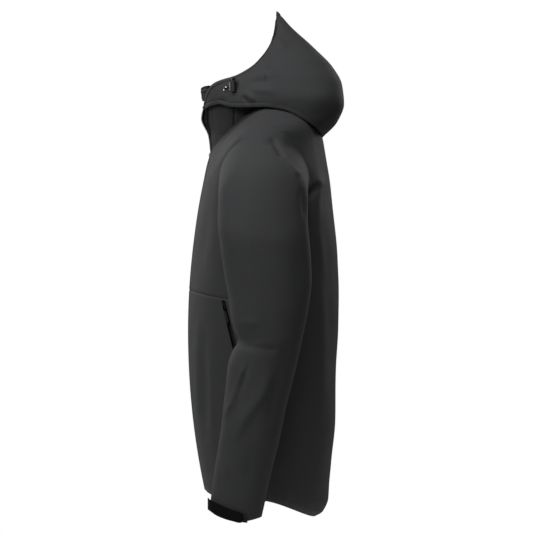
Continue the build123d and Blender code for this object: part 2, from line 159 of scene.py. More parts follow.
# ---------------- materials
def new_material(name):
    """A node material, with helpers that set its shader and add nodes and sums to it.

    A value given to a helper is a plain one, or another node's output, which is linked."""
    material = bpy.data.materials.new(name)
    material.use_nodes = True
    tree = material.node_tree

    def feed(socket, value):
        if isinstance(value, bpy.types.NodeSocket):
            tree.links.new(value, socket)
        else:
            socket.default_value = value

    def dress(made=tree.nodes["Principled BSDF"], **values):
        for key, value in values.items():
            if hasattr(made, key):
                setattr(made, key, value)
            else:
                feed(made.inputs[key.replace("_", " ")], value)
        return made.outputs

    def node(kind, **values):
        return dress(tree.nodes.new("ShaderNode" + kind), **values)

    def maths(operation, *values):
        made = tree.nodes.new("ShaderNodeMath")
        made.operation = operation
        for socket, value in zip(made.inputs, values):
            feed(socket, value)
        return made.outputs[0]

    def ramp(amount, low, high, start=0.0):
        made = tree.nodes.new("ShaderNodeValToRGB")
        feed(made.inputs["Fac"], amount)
        first, last = made.color_ramp.elements
        first.position = start
        first.color, last.color = (*low, 1), (*high, 1)
        return made.outputs["Color"]

    return material, dress, node, maths, ramp


def woven(name, colour, roughness, thread, relief, sheen=0.0, twill=False, uv=True, shine=0.35):
    """Woven cloth: two crossing sets of threads, slubs, and broad changes of shade."""
    material, dress, node, maths, ramp = new_material(name)
    solid = node("TexCoord")["Object"]
    split = node("SeparateXYZ", Vector=node("UVMap", uv_map="weave")["UV"] if uv else solid)

    def ridge(source):
        return maths("SINE", maths("MULTIPLY", source, 2 * math.pi / thread))

    lean = maths("ADD", split["X"], split["Y"]) if twill else split["X"]
    cross = maths("MULTIPLY", ridge(lean), ridge(split["Y"]))
    slub = node("TexNoise", Scale=900.0, Detail=2.0, Vector=solid)["Fac"]
    height = maths("MULTIPLY_ADD", slub, 0.5, cross)
    bump = node("Bump", Strength=relief, Distance=thread * 0.25, Height=height)
    broad = node("TexNoise", Scale=5.0, Detail=3.0, Vector=solid)["Fac"]
    fine = node("TexNoise", Scale=420.0, Detail=1.0, Vector=solid)["Fac"]
    patch = 0.10                # how much lighter and darker the broad patches are
    dark, light = [[c * (1 + change) for c in colour] for change in (-patch, patch)]
    rough = node("MapRange", To_Min=roughness - 0.05, To_Max=roughness + 0.05, Value=fine)["Result"]
    shade = ramp(maths("ADD", broad, fine), dark, light, start=0.55)
    dress(Normal=bump[0], Base_Color=shade, Roughness=rough)
    dress(Sheen_Weight=sheen, Sheen_Roughness=0.45, Specular_IOR_Level=shine)
    return material


def moulded(name, colour, roughness, metallic=0.0, grain=2500.0, relief=0.15, wear=0.0):
    """Moulded plastic, rubber or plated metal: fine grain, and colour worn at the edges."""
    material, dress, node, _, _ = new_material(name)
    place = node("TexCoord")["Object"]
    speck = node("TexNoise", Scale=grain, Detail=3.0, Vector=place)["Fac"]
    bump = node("Bump", Strength=relief, Distance=0.0001, Height=speck)
    blotch = node("TexNoise", Scale=160.0, Detail=4.0, Vector=place)["Fac"]
    rough = node("MapRange", To_Min=roughness - 0.08, To_Max=roughness + 0.08, Value=blotch)["Result"]
    point = node("NewGeometry")["Pointiness"]
    edge = node("MapRange", From_Min=0.53, From_Max=0.62, To_Max=wear, Value=point)["Result"]
    worn = [min(1.0, c * 3 + 0.03) for c in colour]
    mix = node("Mix", data_type="RGBA", A=(*colour, 1), B=(*worn, 1), Factor=edge)["Result"]
    dress(Normal=bump[0], Base_Color=mix, Roughness=rough, Metallic=metallic)
    return material


def pile(name, colour, scale, relief):
    """A fuzzy or hooked surface, lighter on the tops of its loops and darker in the hollows between them:
    painted highlight and painted shade.
    """
    material, dress, node, _, ramp = new_material(name)
    loops = node("TexVoronoi", Scale=scale, Vector=node("TexCoord")["Object"])["Distance"]
    bump = node("Bump", Strength=relief, Distance=0.0005, invert=True, Height=loops)
    # Painted highlight on the loops' tops and painted shade in the hollows between them, following the bump's
    # heights.
    shade = ramp(loops, [c * 1.4 for c in colour], [c * 0.6 for c in colour])
    dress(Normal=bump[0], Base_Color=shade, Roughness=0.9, Sheen_Weight=0.25)
    return material


INK = (0.010, 0.010, 0.011)
WEBBING = ((0.0045, 0.0045, 0.005), 0.8, 0.0016, 0.8)
SHELL = ((0.047, 0.048, 0.050), 0.74, 0.0009, 0.35)
LINING = ((0.026, 0.027, 0.029), 0.85, 0.0012, 0.45, 0.2)
MATERIAL = {
    "shell": woven("shell_cloth", *SHELL, sheen=0.06),
    "lining": woven("lining_tricot", *LINING),
    "webbing": woven("webbing_cloth", *WEBBING, twill=True, shine=0.15),
    "zip_tape": woven("zip_tape_cloth", INK, 0.6, 0.0010, 0.7, twill=True),
    "zip_coil": moulded("coil_nylon", INK, 0.42),
    "hardware": moulded("black_lacquer", (0.016, 0.016, 0.017), 0.38, metallic=0.6, wear=0.5),
    "pull": moulded("pull_rubber", (0.014, 0.014, 0.015), 0.62, grain=5000.0, relief=0.3),
    "nickel": moulded("nickel_plate", (0.70, 0.70, 0.69), 0.24, metallic=1.0, relief=0.05),
    "lock_plastic": moulded("acetal", (0.012, 0.012, 0.013), 0.33),
    "cord": woven("cord_braid", (0.012, 0.012, 0.013), 0.7, 0.0012, 1.0, twill=True, uv=False),
    "hook_loop": pile("hook_and_loop", (0.014, 0.014, 0.015), 1400.0, 1.0),
    "thread": moulded("thread", (0.030, 0.031, 0.033), 0.6),
}


# ---------------- curves and grids
def ease(t):
    """0 to 1 with level ends."""
    t = np.clip(t, 0, 1)
    return t * t * (3 - 2 * t)


def curve(keys, values, at):
    """A smooth curve through stations that doesn't swing past them (monotone cubic)."""
    x, y = np.asarray(keys, float), np.asarray(values, float)
    if x[0] > x[-1]:
        x, y = x[::-1], y[::-1]
    flat = y.reshape(len(x), -1)
    step = np.diff(x)[:, None]
    slope = np.diff(flat, axis=0) / step
    tangent = np.zeros_like(flat)
    before, after = 2 * step[1:] + step[:-1], step[1:] + 2 * step[:-1]
    same = slope[:-1] * slope[1:] > 0
    safe = np.where(same, slope[:-1], 1.0), np.where(same, slope[1:], 1.0)
    mean = (before + after) / (before / safe[0] + after / safe[1])
    tangent[1:-1] = np.where(same, mean, 0)
    tangent[0], tangent[-1] = slope[0], slope[-1]
    at = np.asarray(at, float)
    where = np.clip(at.ravel(), x[0], x[-1])
    i = np.clip(np.searchsorted(x, where, side="right") - 1, 0, len(x) - 2)
    h = step[i]
    t = (where - x[i])[:, None] / h
    value = (
        (1 + 2 * t) * (1 - t) ** 2 * flat[i]
        + t * (1 - t) ** 2 * h * tangent[i]
        + t * t * (3 - 2 * t) * flat[i + 1]
        + t * t * (t - 1) * h * tangent[i + 1]
    )
    return value.reshape(at.shape + y.shape[1:])


def along(pairs, at):
    """curve() for a list of (key, value) pairs."""
    keys, values = zip(*pairs)
    return curve(keys, values, at)


def unit(vectors):
    """The same vectors with a length of 1."""
    return vectors / np.maximum(np.linalg.norm(vectors, axis=-1, keepdims=True), 1e-9)


def mirrored(grid, side):
    """The grid as it is, or its mirror image for the right-hand side."""
    return grid * (side, 1, 1)


def walked(grid, axis=0):
    """How far each point of a line or a grid is from the first one, along the cloth."""
    steps = np.diff(grid, axis=axis, prepend=np.take(grid, [0], axis=axis))
    return np.cumsum(np.linalg.norm(steps, axis=-1), axis)


def sample(at, reach, values):
    """Vectors given at some distances, taken at others."""
    return np.stack([np.interp(at, reach, values[:, k]) for k in range(3)], -1)


def whole(left, right):
    """One grid from two halves, which meet in the middle of the back."""
    return np.concatenate([left, right[:, ::-1][:, 1:]], 1)


def grid_normals(grid, closed=False):
    """Outward normals of a grid whose columns run anticlockwise seen from the start of the rows."""
    if closed:
        wrapped = np.concatenate([grid[:, -1:], grid, grid[:, :1]], axis=1)
        across = (wrapped[:, 2:] - wrapped[:, :-2]) / 2
    else:
        across = np.gradient(grid, axis=1)
    return unit(np.cross(np.gradient(grid, axis=0), across))


def dense(path, count=40):
    """More points on a smooth line through a few."""
    path = np.asarray(path, float)
    reach = walked(path)
    return curve(reach, path, np.linspace(0, reach[-1], count))


def line_field(points, path):
    """Distance to a line, which side of it, and the share of the way along it."""
    line = dense(path)
    start, run = line[:-1], np.diff(line, axis=0)
    length = np.linalg.norm(run, axis=1)
    best = np.full(points.shape[:-1], 1e9)
    side, share = np.zeros_like(best), np.zeros_like(best)
    total = length.sum()
    passed = 0.0
    for a, r, n in zip(start, run, length):
        rel = points - a
        t = np.clip((rel @ r) / (n * n), 0, 1)
        gap = rel - t[..., None] * r
        distance = np.linalg.norm(gap, axis=-1)
        closer = distance < best
        best = np.where(closer, distance, best)
        side = np.where(closer, np.sign(r[0] * gap[..., 1] - r[1] * gap[..., 0]), side)
        share = np.where(closer, (passed + t * n) / total, share)
        passed += n
    return best, side, share


class Fold:
    """A ridge (height > 0) or a valley along a line in side view, on one outer side of the jacket."""

    def __init__(self, path, height, width, width_below=None, crisp=2.0, fade=0.4):
        self.path = path
        self.height = height
        self.widths = (width, width_below or width)
        self.crisp = crisp
        self.fade = fade

    def lift(self, points, facing):
        distance, side, share = line_field(points[..., 1:], self.path)
        width = np.where(side > 0, self.widths[0], self.widths[1])
        profile = np.exp(-((distance / width) ** self.crisp))
        ends = ease(share / self.fade) * ease((1 - share) / self.fade) if self.fade else 1.0
        return self.height * profile * ends * ease(facing * 2.2)


def crumple(grid, normals, folds, side, strength=1.0):
    """Move a grid along its normals by every fold on that side."""
    facing = normals[..., 0] * side
    lift = sum(fold.lift(grid, facing) for fold in folds) * strength
    return grid + normals * lift[..., None]


def ripple(grid, normals, amount, seed, share):
    """Broad soft unevenness, as cloth has where it hangs free; share says how much of it."""
    dice = np.random.default_rng(seed)
    lift = np.zeros(grid.shape[:-1])
    for wavelength in (210, 150, 95, 60):
        for _ in range(3):
            way = dice.normal(size=3) * (1, 1, 0.45)
            way /= np.linalg.norm(way)
            phase = dice.uniform(0, 2 * math.pi)
            lift += np.sin(grid @ way * (2 * math.pi / wavelength) + phase) * wavelength / 210
    return grid + normals * (amount * lift / 4 * share)[..., None]


# ---------------- meshes
def cloth(
    name, grid, thickness=1.2, slot="shell", inside="lining", closed=False, keep=None, flip=False,
    faced=None, shade=None,
):
    """A sheet of cloth as a closed shell. The grid is its outer face; keep says which cells stay.

    faced says which cells have the outer cloth on their inner side too, and shade gives normals to
    shade by where the cloth runs on into another piece."""
    rows, columns = grid.shape[:2]
    normals = grid_normals(grid, closed) * (-1 if flip else 1)
    inner = grid - normals * np.broadcast_to(thickness, (rows, columns))[..., None]
    if keep is None:
        keep = np.ones((rows - 1, columns if closed else columns - 1), bool)
    r, c = np.nonzero(keep)
    nxt = (c + 1) % columns
    cell = np.stack([r * columns + c, (r + 1) * columns + c, (r + 1) * columns + nxt, r * columns + nxt], 1)
    if flip:
        cell = cell[:, ::-1]
    count = rows * columns
    edges = np.stack([cell, np.roll(cell, -1, axis=1)], 2).reshape(-1, 2)
    code, back = edges[:, 0] * count + edges[:, 1], edges[:, 1] * count + edges[:, 0]
    border = edges[~np.isin(code, back)]
    rim = np.stack([border[:, 1], border[:, 0], border[:, 0] + count, border[:, 1] + count], 1)
    faces = np.concatenate([cell, cell[:, ::-1] + count, rim])

    points = np.concatenate([grid.reshape(-1, 3), inner.reshape(-1, 3)])
    shown = normals if shade is None else shade
    corner_normals = np.concatenate([shown.reshape(-1, 3), -shown.reshape(-1, 3)])[faces]
    ends = points[rim]
    flat = unit(np.cross(ends[:, 1] - ends[:, 0], ends[:, 3] - ends[:, 0]))
    corner_normals[len(faces) - len(rim):] = flat[:, None]
    uv = np.stack([walked(grid, 1), walked(grid)], -1).reshape(-1, 2) * MM
    uv = np.concatenate([uv, uv])[faces].reshape(-1, 2)

    used, faces = np.unique(faces, return_inverse=True)
    faces = faces.reshape(-1, 4)
    mesh = bpy.data.meshes.new(name)
    mesh.from_pydata((points[used] * MM).tolist(), [], faces.tolist())
    layer = mesh.uv_layers.new(name="weave")
    layer.data.foreach_set("uv", uv.astype(np.float32).ravel())
    mesh.materials.append(MATERIAL[slot])
    mesh.materials.append(MATERIAL[inside])
    index = np.zeros(len(faces), np.int32)
    index[len(cell):2 * len(cell)] = 1 if faced is None else ~faced[r, c]
    mesh.polygons.foreach_set("material_index", index)
    mesh.polygons.foreach_set("use_smooth", np.ones(len(faces), bool))
    mesh.normals_split_custom_set(corner_normals.reshape(-1, 3).tolist())
    thing = link_object(name, mesh)
    return thing


def merge(name, parts, slot, material=None):
    """One mesh from several (points in mm, faces) parts."""
    points, faces, base = [], [], 0
    for part_points, part_faces in parts:
        points.append(np.asarray(part_points, float))
        faces += [[base + i for i in face] for face in part_faces]
        base += len(part_points)
    mesh = bpy.data.meshes.new(name)
    mesh.from_pydata((np.concatenate(points) * MM).tolist(), [], faces)
    mesh.polygons.foreach_set("use_smooth", np.ones(len(faces), bool))
    mesh.materials.append(MATERIAL[material or slot])
    thing = link_object(name, mesh)
    return thing


def hoops(rows, sides):
    """The faces between rings of points that follow one another."""
    faces = []
    for i in range(rows - 1):
        for j in range(sides):
            k = (j + 1) % sides
            faces.append([i * sides + j, i * sides + k, (i + 1) * sides + k, (i + 1) * sides + j])
    return faces


def tube(path, radii, sides=8, squash=1.0, up=(0.0, 0.0, 1.0)):
    """Points and faces of a rod along a path. radii is one radius, or one for each point."""
    path = np.asarray(path, float)
    heading = unit(np.gradient(path, axis=0))
    if np.ndim(up) == 1 and abs(heading @ up).max() > 0.95:
        up = (0.3, 1.0, 0.2)
    across = unit(np.cross(heading, np.broadcast_to(up, path.shape)))
    lift = np.cross(across, heading)
    turn = np.arange(sides) * 2 * math.pi / sides
    ring = (
        across[:, None] * np.cos(turn)[None, :, None]
        + lift[:, None] * (squash * np.sin(turn))[None, :, None]
    ) * np.broadcast_to(radii, len(path))[:, None, None]
    end = (len(path) - 1) * sides
    caps = [list(range(sides))[::-1], list(range(end, end + sides))]
    return (path[:, None] + ring).reshape(-1, 3), hoops(len(path), sides) + caps


def stitches(name, path, normals, body=None):
    """A row of machine stitches lying on a surface."""
    pitch, length, radius, sink = 3.2, 2.3, 0.24, 0.05
    reach = walked(path)
    share = np.linspace(0, 1, 5)
    arch = np.sin(share * math.pi) ** 0.5
    parts = []
    for start in np.arange(pitch / 2, reach[-1] - length, pitch):
        at = start + share * length
        out = sample(at, reach, unit(normals))
        line = sample(at, reach, path) + out * (arch[:, None] * radius - sink)
        parts.append(tube(line, radius * (0.55 + 0.45 * arch), sides=6, up=out))
    thing = merge(name, parts, "shell", material="thread")
    if body:
        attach(thing, body)
    return thing


# ---------------- torso
zip_centre = (1230.0, -430.0)   # of the arc that the front zip lies on, Y and Z
zip_radius = 1446.0
zip_sink = 3.0                  # the zip lies this far behind the panels' faces
zip_foot_z = -732.0
front_gap = 15.5                # from the middle of the front to the edge of each front panel
shoulder = np.array((0.0, -70.0, -140.0))
armhole_radius = 86.0
armhole_tuck = 9.0              # how far the panels run in under the sleeve's root


def front_y(z):
    """The front edge of the jacket lies on the zip's arc."""
    return zip_centre[0] - np.sqrt(zip_radius**2 - (np.asarray(z) - zip_centre[1]) ** 2)


# Height of the front, the side and the back of each ring, its half width, and its side's and
# back's Y. The first ring is the neck seam and the last is the hem.
torso_rings = [
    (-75, 13, 14, 76, -62, 4),
    (-92, 3, 6, 100, -64, 18),
    (-122, -20, -18, 150, -67, 34),
    (-164, -54, -62, 204, -70, 45),
    (-205, -130, -140, 207, -69, 57),
    (-245, -215, -215, 206, -67, 66),
    (-295, -290, -290, 205, -65, 72),
    (-347, -366, -347, 204, -65, 74.5),
    (-420, -430, -420, 202, -65, 73.5),
    (-500, -505, -500, 200, -65, 69),
    (-590, -590, -600, 196, -65, 68),
    (-650, -655, -680, 192, -65, 60),
    (-690, -696, -720, 188, -65, 56),
    (-716, -722, -750, 186, -65, 54.5),
    (-730, -735, -776, 184, -65, 42),
    (-734, -739, -783, 182, -65, 31),
]
SHOULDER_RING, SEAM_RING, HEM_RING = 2.2, 7, 15
ring_roundness = [(0, 1.0), (2, 0.96), (4, 0.90), (15, 0.86)]
back_roundness = [(0, 1.0), (2, 1.0), (3, 1.02), (4, 0.88), (5, 0.78), (7, 0.84), (15, 0.86)]
front_drop = [(0, 1.5), (1, 1.55), (2, 1.8), (3, 2.1), (13, 2.2), (15, 2.6)]
back_drop = [(0, 2.0), (11, 2.0), (15, 1.4)]

pocket_top = np.array((172.5, -146.5, -367.0))
pocket_foot = np.array((194.5, -102.5, -531.0))
LIP_RISE, LIP_WIDTH = 2.4, 11.0  # the rolled edge beside the zip
POCKET_COLUMN = 0.5 * 0.60      # the pocket's column, as a share of the half circumference


def torso_rows():
    """Where the rows of the torso's grid lie, counted in rings, closer at the seam and the hem."""
    rows = []
    for ring in range(HEM_RING):
        rise = torso_rings[ring][0] - torso_rings[ring + 1][0]
        rise = max(rise, torso_rings[ring][2] - torso_rings[ring + 1][2])
        steps = max(3, round(rise / 4.2))
        rows += [ring + i / steps for i in range(steps)]
    rows += [SEAM_RING + d for d in (-0.06, -0.03, -0.015, 0.012, 0.024, 0.05)]
    return np.array(sorted(rows) + [HEM_RING])


def torso_columns():
    """Shares of the half circumference: 0 at the zip, 0.5 at the side seam, 1 at the back."""
    even = np.concatenate([np.linspace(0, 0.5, 71), np.linspace(0.5, 1, 71)])
    seam = [0.5 + d for d in (-0.009, -0.0035, 0.0035, 0.009)]
    edge = [0.002, 0.004]
    slot = [POCKET_COLUMN + d for d in (-0.0135, -0.0105, 0.0105, 0.0135)]
    shares = np.unique(np.round(np.concatenate([even, seam, edge]), 5))
    shares = shares[abs(shares - POCKET_COLUMN) > 0.0136]
    return np.sort(np.concatenate([shares, slot]))


def torso_grid(rows, columns):
    """The left half of the torso's outer face."""
    count = np.arange(len(torso_rings))
    rings = curve(count, torso_rings, rows)
    front_z, side_z, back_z, half, side_y, back_y = rings.T[:, :, None]
    round_off = along(ring_roundness, rows)[:, None]
    drop_f, drop_b = along(front_drop, rows)[:, None], along(back_drop, rows)[:, None]
    share = columns[None, :]

    first = np.arcsin(np.clip(front_gap / half, 0, 1) ** (1 / round_off))
    # Between the pocket's ends the grid's pocket column follows the pocket.
    t = np.clip((side_z - pocket_top[2]) / (pocket_foot[2] - pocket_top[2]), -0.6, 1.6)
    pocket_y = pocket_top[1] + (pocket_foot[1] - pocket_top[1]) * t
    front_reach = side_y - front_y(front_z)
    nearness = np.clip((side_y - pocket_y) / front_reach, 0.02, 0.98)
    pocket_angle = np.arccos(nearness ** (1 / round_off))
    ahead = first + (pocket_angle - first) * share / POCKET_COLUMN
    past = (share - POCKET_COLUMN) / (0.5 - POCKET_COLUMN)
    beyond = pocket_angle + (math.pi / 2 - pocket_angle) * past
    behind = math.pi / 2 * (1 + (share - 0.5) * 2)
    angle = np.where(share <= POCKET_COLUMN, ahead, np.where(share <= 0.5, beyond, behind))

    c = np.cos(angle)
    front = c > 0
    round_off = np.where(front, round_off, along(back_roundness, rows)[:, None])
    reach = abs(c) ** round_off
    x = half * np.clip(np.sin(angle), 0, 1) ** round_off
    y = side_y + (np.where(front, front_y(front_z), back_y) - side_y) * reach
    z = side_z + (np.where(front, front_z, back_z) - side_z) * reach ** np.where(front, drop_f, drop_b)
    return np.stack([x, y, z], -1)


torso_folds = [
    # the fold from the back of the armhole to the underarm, and the softer ones behind it
    Fold([(40, -142), (24, -158), (8, -178), (7, -212), (10, -240)], -13, 6, 5, fade=0.2),
    Fold([(48, -126), (36, -150), (22, -176)], 4, 7),
    Fold([(30, -105), (33, -150), (31, -190), (36, -240)], 3, 8, fade=0.45),
    Fold([(22, -190), (32, -250), (40, -330)], 3, 9, fade=0.5),
    Fold([(50, -150), (56, -260), (58, -400), (56, -560)], -2.2, 10),
    Fold([(20, -260), (38, -420), (40, -640)], 3, 13),
    Fold([(8, -520), (16, -640), (20, -740)], -2.5, 12),
    # the front: shallow upright folds below the chest
    Fold([(-186, -120), (-194, -200), (-199, -300), (-200, -345)], 1.4, 7),
    Fold([(-170, -140), (-180, -210), (-184, -300)], -1.2, 9, fade=0.5),
    Fold([(-196, -360), (-198, -480), (-192, -640), (-186, -700)], 2.2, 7),
    Fold([(-182, -380), (-184, -500), (-178, -660)], -2.4, 8),
    Fold([(-168, -420), (-168, -560), (-164, -700)], 2.0, 8),
]
shoulder_folds = [
    # the small raised seam, the crease below it and the ridge that leads to the underarm
    Fold([(-70, -46), (-38, -49), (-10, -55)], 1.5, 1.5, fade=0.2),
    Fold([(-57, -56), (-47, -74), (-38, -90), (-30, -102)], -6.5, 4, 12, crisp=1.5, fade=0.25),
    Fold([(-64, -72), (-54, -88), (-40, -106)], 3.0, 6),
    Fold([(-34, -60), (-22, -76), (-14, -92)], -1.6, 12, fade=0.5),
    Fold([(-30, -106), (-20, -120), (-10, -131), (3, -133)], 3.0, 6, 4, fade=0.35),
    Fold([(0, -150), (2, -185), (4, -225)], -3.0, 6),
]

rows, columns = torso_rows(), torso_columns()
seam_row = np.argmin(abs(rows - SEAM_RING))
plain_torso = torso_grid(rows, columns)


def seam_groove(grid, normals, distance, depth=1.5, width=1.8):
    """Press a seam into the cloth; distance is each vertex's distance from it."""
    lift = -depth * np.exp(-((distance / width) ** 2)) + 0.15 * np.exp(-(((distance - 4.5) / 2.6) ** 2))
    return grid + normals * lift[..., None]


def torso_half(side):
    """One finished half of the torso, still on the +X side."""
    normals = grid_normals(plain_torso)
    folds = torso_folds + shoulder_folds[:1]
    grid = crumple(plain_torso, normals, folds, 1, 1.0 if side == LEFT else 0.7)
    quiet = ease(columns / 0.05) * ease((1 - columns) / 0.03)
    grid = ripple(grid, normals, 2.0, 4 + side, quiet * ease((HEM_RING - rows) / 1.5)[:, None])
    seam_column = np.argmin(abs(columns - 0.5))
    along_rows, along_columns = walked(grid), walked(grid, 1)
    across_seam = abs(along_rows - along_rows[seam_row])
    across_side = abs(along_columns - along_columns[:, seam_column:seam_column + 1])
    normals = grid_normals(grid)
    front = (columns <= 0.5)[None, :]
    grid = seam_groove(grid, normals, np.where(front, across_seam, 99.0))
    grid = seam_groove(grid, normals, np.where(rows[:, None] > 4, across_side, 99.0))
    from_zip = along_columns - along_columns[:, :1]
    lip = LIP_RISE * np.exp(-(((from_zip - LIP_WIDTH / 2) / (LIP_WIDTH / 2)) ** 2))
    lip -= 0.8 * np.exp(-(((from_zip - LIP_WIDTH) / 1.4) ** 2))
    return grid + grid_normals(grid) * lip[..., None]


def torso_pieces():
    """Front panels, the back and their edges; returns each half's grid for what is sewn to it."""
    halves = {side: torso_half(side) for side in (LEFT, RIGHT)}
    row_mid, column_mid = (rows[1:, None] + rows[:-1, None]) / 2, (columns[1:] + columns[:-1]) / 2
    thickness = 1.2 + ease((rows[:, None] - 13.2) / 0.6)

    def cells(grid):
        """The middles of the cells, and which ones lie outside the armhole."""
        centre = (grid[1:, 1:] + grid[:-1, :-1]) / 2
        radius = np.hypot(centre[..., 1] - shoulder[1], centre[..., 2] - shoulder[2])
        return centre, (radius > armhole_radius - armhole_tuck) | (row_mid < SHOULDER_RING)

    for side, name in SIDES:
        grid = halves[side]
        centre, solid = cells(grid)
        front = (column_mid < 0.5) & solid
        upper = front & (row_mid < SEAM_RING)
        slot = abs(column_mid - POCKET_COLUMN) < 0.0106
        beside = (centre[..., 2] < pocket_top[2] + 1) & (centre[..., 2] > pocket_foot[2] - 1)
        lower = front & (row_mid > SEAM_RING) & ~(slot & beside)
        placed = mirrored(grid, side)
        for panel, keep in (("front_upper_panel", upper), ("front_lower_panel", lower)):
            piece = cloth(f"{name}_{panel}_cloth", placed, thickness, keep=keep, flip=side == RIGHT)
            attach(piece, "torso")
            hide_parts(f"{name}_{panel}")
    left, right = halves[LEFT], mirrored(halves[RIGHT], RIGHT)
    half = columns >= 0.5
    middle = (left[:, -1:] + right[:, -1:]) / 2
    back = whole(np.concatenate([left[:, half][:, :-1], middle], 1), right[:, half])
    piece = cloth("back_panel_cloth", back, thickness, keep=cells(back)[1])
    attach(piece, "torso")
    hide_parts("back_panel", "hem_facing")
    return halves


torso = torso_pieces()


def row_at(grid, distance, side=LEFT, from_end=False):
    """The line a set distance from the first or last row, with its normals."""
    order = -1 if from_end else 1
    use, normals = grid[::order], grid_normals(grid)[::order] * side
    reach = walked(use)
    across = range(use.shape[1])
    return [np.array([sample(distance, reach[:, j], v[:, j]) for j in across]) for v in (use, normals)]


def torso_stitches():
    """Rows of stitches along the front edges, the hem and the front seams."""
    front = columns <= 0.5
    for side, name in SIDES:
        placed = mirrored(torso[side], side)
        for label, grid, distance, from_end in (
            ("front_edge", np.swapaxes(placed, 0, 1), LIP_WIDTH, False),
            ("hem", placed, 17.0, True),
            ("front_seam_upper", placed[:seam_row][:, front], 5.0, True),
        ):
            facing = -side if label == "front_edge" else side
            line, out = row_at(grid, distance, facing, from_end)
            stitches(f"{name}_{label}_stitches", line[2:-2], out[2:-2], "torso")


torso_stitches()

# ---------------- sleeves
# Height against value, down the arm
sleeve_front = [
    (-217, -156), (-269, -150), (-315, -143), (-355, -135), (-397, -129), (-419, -122.5),
    (-436, -116), (-454, -126), (-481, -135), (-514, -139), (-554, -144), (-582, -147),
    (-619, -152), (-662, -158.5), (-703, -163.5), (-757, -169),
]
sleeve_back = [
    (-217, 7.5), (-255, 11.7), (-295, 14.8), (-326, 16), (-370, 11.5), (-416, 3), (-459, -6),
    (-509, -17), (-558, -29.5), (-620, -43), (-653, -51.5), (-692, -60.5), (-721, -66), (-757, -74),
]
sleeve_across = [
    (-217, 54), (-260, 57), (-370, 57), (-440, 54), (-509, 51), (-620, 45), (-722, 38), (-757, 37),
]
sleeve_middle = [(-217, 262), (-260, 267), (-370, 270), (-509, 272), (-620, 274), (-757, 274)]
sleeve_foot = [(-169, -744), (-150, -753), (-115, -761), (-74, -755)]
cap_stations = [(247, -72, -178, 55, 65, 82), (261, -73, -217, 20, 54, 82)]
CAP_FOOT_Z, SPLIT_Z, CUFF_Z = -217.0, -330.0, -757.0
ROUND = 140                     # vertices round the sleeve: the first outside, a quarter turn on the back
sleeve_turn = np.arange(ROUND) * 2 * math.pi / ROUND
cosine, sine = np.cos(sleeve_turn), np.sin(sleeve_turn)


def sleeve_ring(z):
    """A level ring of the sleeve, but for its slanting foot."""
    front, back = along(sleeve_front, z), along(sleeve_back, z)
    across, middle = along(sleeve_across, z), along(sleeve_middle, z)
    deep = (back - front) / 2
    x = middle + across * np.sign(cosine) * abs(cosine) ** 0.92
    y = (front + back) / 2 + deep * np.sign(sine) * abs(sine) ** 0.92
    slant = ease((-600 - z) / 157)
    foot = along(sleeve_foot, y)
    return np.stack([x, y, z + (foot - CUFF_Z) * slant], -1)


def tipped_ring(x, y, z, tip, across, deep):
    """A ring of the sleeve's cap, tipped from level towards the armhole."""
    lean = math.radians(tip)
    out = across * cosine
    return np.stack([x + out * math.cos(lean), y + deep * sine, z + out * math.sin(lean)], -1)


def torso_face(grid, y, z):
    """How far out the torso's face is at some places in side view, and its normals there."""
    outer = grid[:, :, 0] > 100
    points, normals = grid[outer], grid_normals(grid)[outer]
    found = []
    for a, b in zip(y, z):
        gap = np.hypot(points[:, 1] - a, points[:, 2] - b)
        near = np.argsort(gap)[:6]
        weight = 1 / (gap[near] + 0.5) ** 2
        here = np.column_stack([points[near, 0], normals[near]])
        found.append((here * weight[:, None]).sum(0) / weight.sum())
    found = np.array(found)
    return found[:, 0], unit(found[:, 1:])


def smooth_ring(values):
    for _ in range(6):
        values = (np.roll(values, 1) + 2 * values + np.roll(values, -1)) / 4
    return values


def armhole_ring(side, radius, sink):
    """The ring of the torso's face at a distance from the shoulder's axis."""
    y, z = shoulder[1] + radius * sine, shoulder[2] + radius * cosine
    x = smooth_ring(torso_face(torso[side], y, z)[0])
    return np.stack([x - sink, y, z], -1)


sleeve_folds = [
    Fold([(34, -146), (22, -160), (8, -178), (4, -212)], -2.0, 9),
    # forearm: one sharp ridge to the front edge, a broad one beside it, and the hollows between
    Fold(
        [(-99, -467), (-113, -500), (-122, -531), (-135, -564), (-147, -577)],
        4.2, 4.5, 7, crisp=1.5, fade=0.25,
    ),
    Fold(
        [(-57, -477), (-68, -519), (-84, -548), (-104, -574), (-119, -603), (-143, -628)],
        3.8, 9, 14, fade=0.35,
    ),
    Fold([(-92, -455), (-104, -490), (-112, -520), (-120, -545)], -2.8, 6, 9),
    Fold([(-40, -473), (-57, -564), (-72, -600)], -3.2, 11, fade=0.45),
    Fold([(-144, -640), (-140, -660), (-138, -690)], 2.0, 5, fade=0.5),
    Fold([(-90, -620), (-96, -660), (-104, -700)], -1.6, 10, fade=0.5),
    # inside of the elbow: the cloth bunches over the bend
    Fold([(-117, -434), (-100, -443), (-76, -447), (-52, -449)], -2.2, 4, 7, crisp=1.6, fade=0.0),
    Fold([(-122, -406), (-100, -402), (-72, -404)], 1.8, 8),
    Fold([(-20, -420), (-34, -470), (-44, -520)], -2.0, 10, fade=0.5),
    # upper sleeve: almost smooth
    Fold([(-148, -200), (-140, -260), (-126, -330), (-118, -380)], -1.6, 12, fade=0.5),
    Fold([(-60, -150), (-52, -260), (-50, -380)], 1.2, 22, fade=0.5),
    Fold([(-8, -230), (-6, -300), (-12, -380)], -1.8, 12, fade=0.5),
]
sleeve_inner_folds = [
    Fold([(-112, -440), (-80, -446), (-40, -440), (-6, -430)], -3.0, 6, fade=0.2),
    Fold([(-120, -470), (-90, -500), (-60, -510)], 3.0, 9),
    Fold([(-130, -300), (-80, -320), (-30, -310)], -2.0, 12),
]


def arm_key(z):
    """Where a height below the cap comes in the sleeve's rows: 0 is the armhole and 1 the cap's foot."""
    return 1.0 + (CAP_FOOT_Z - z) / 60


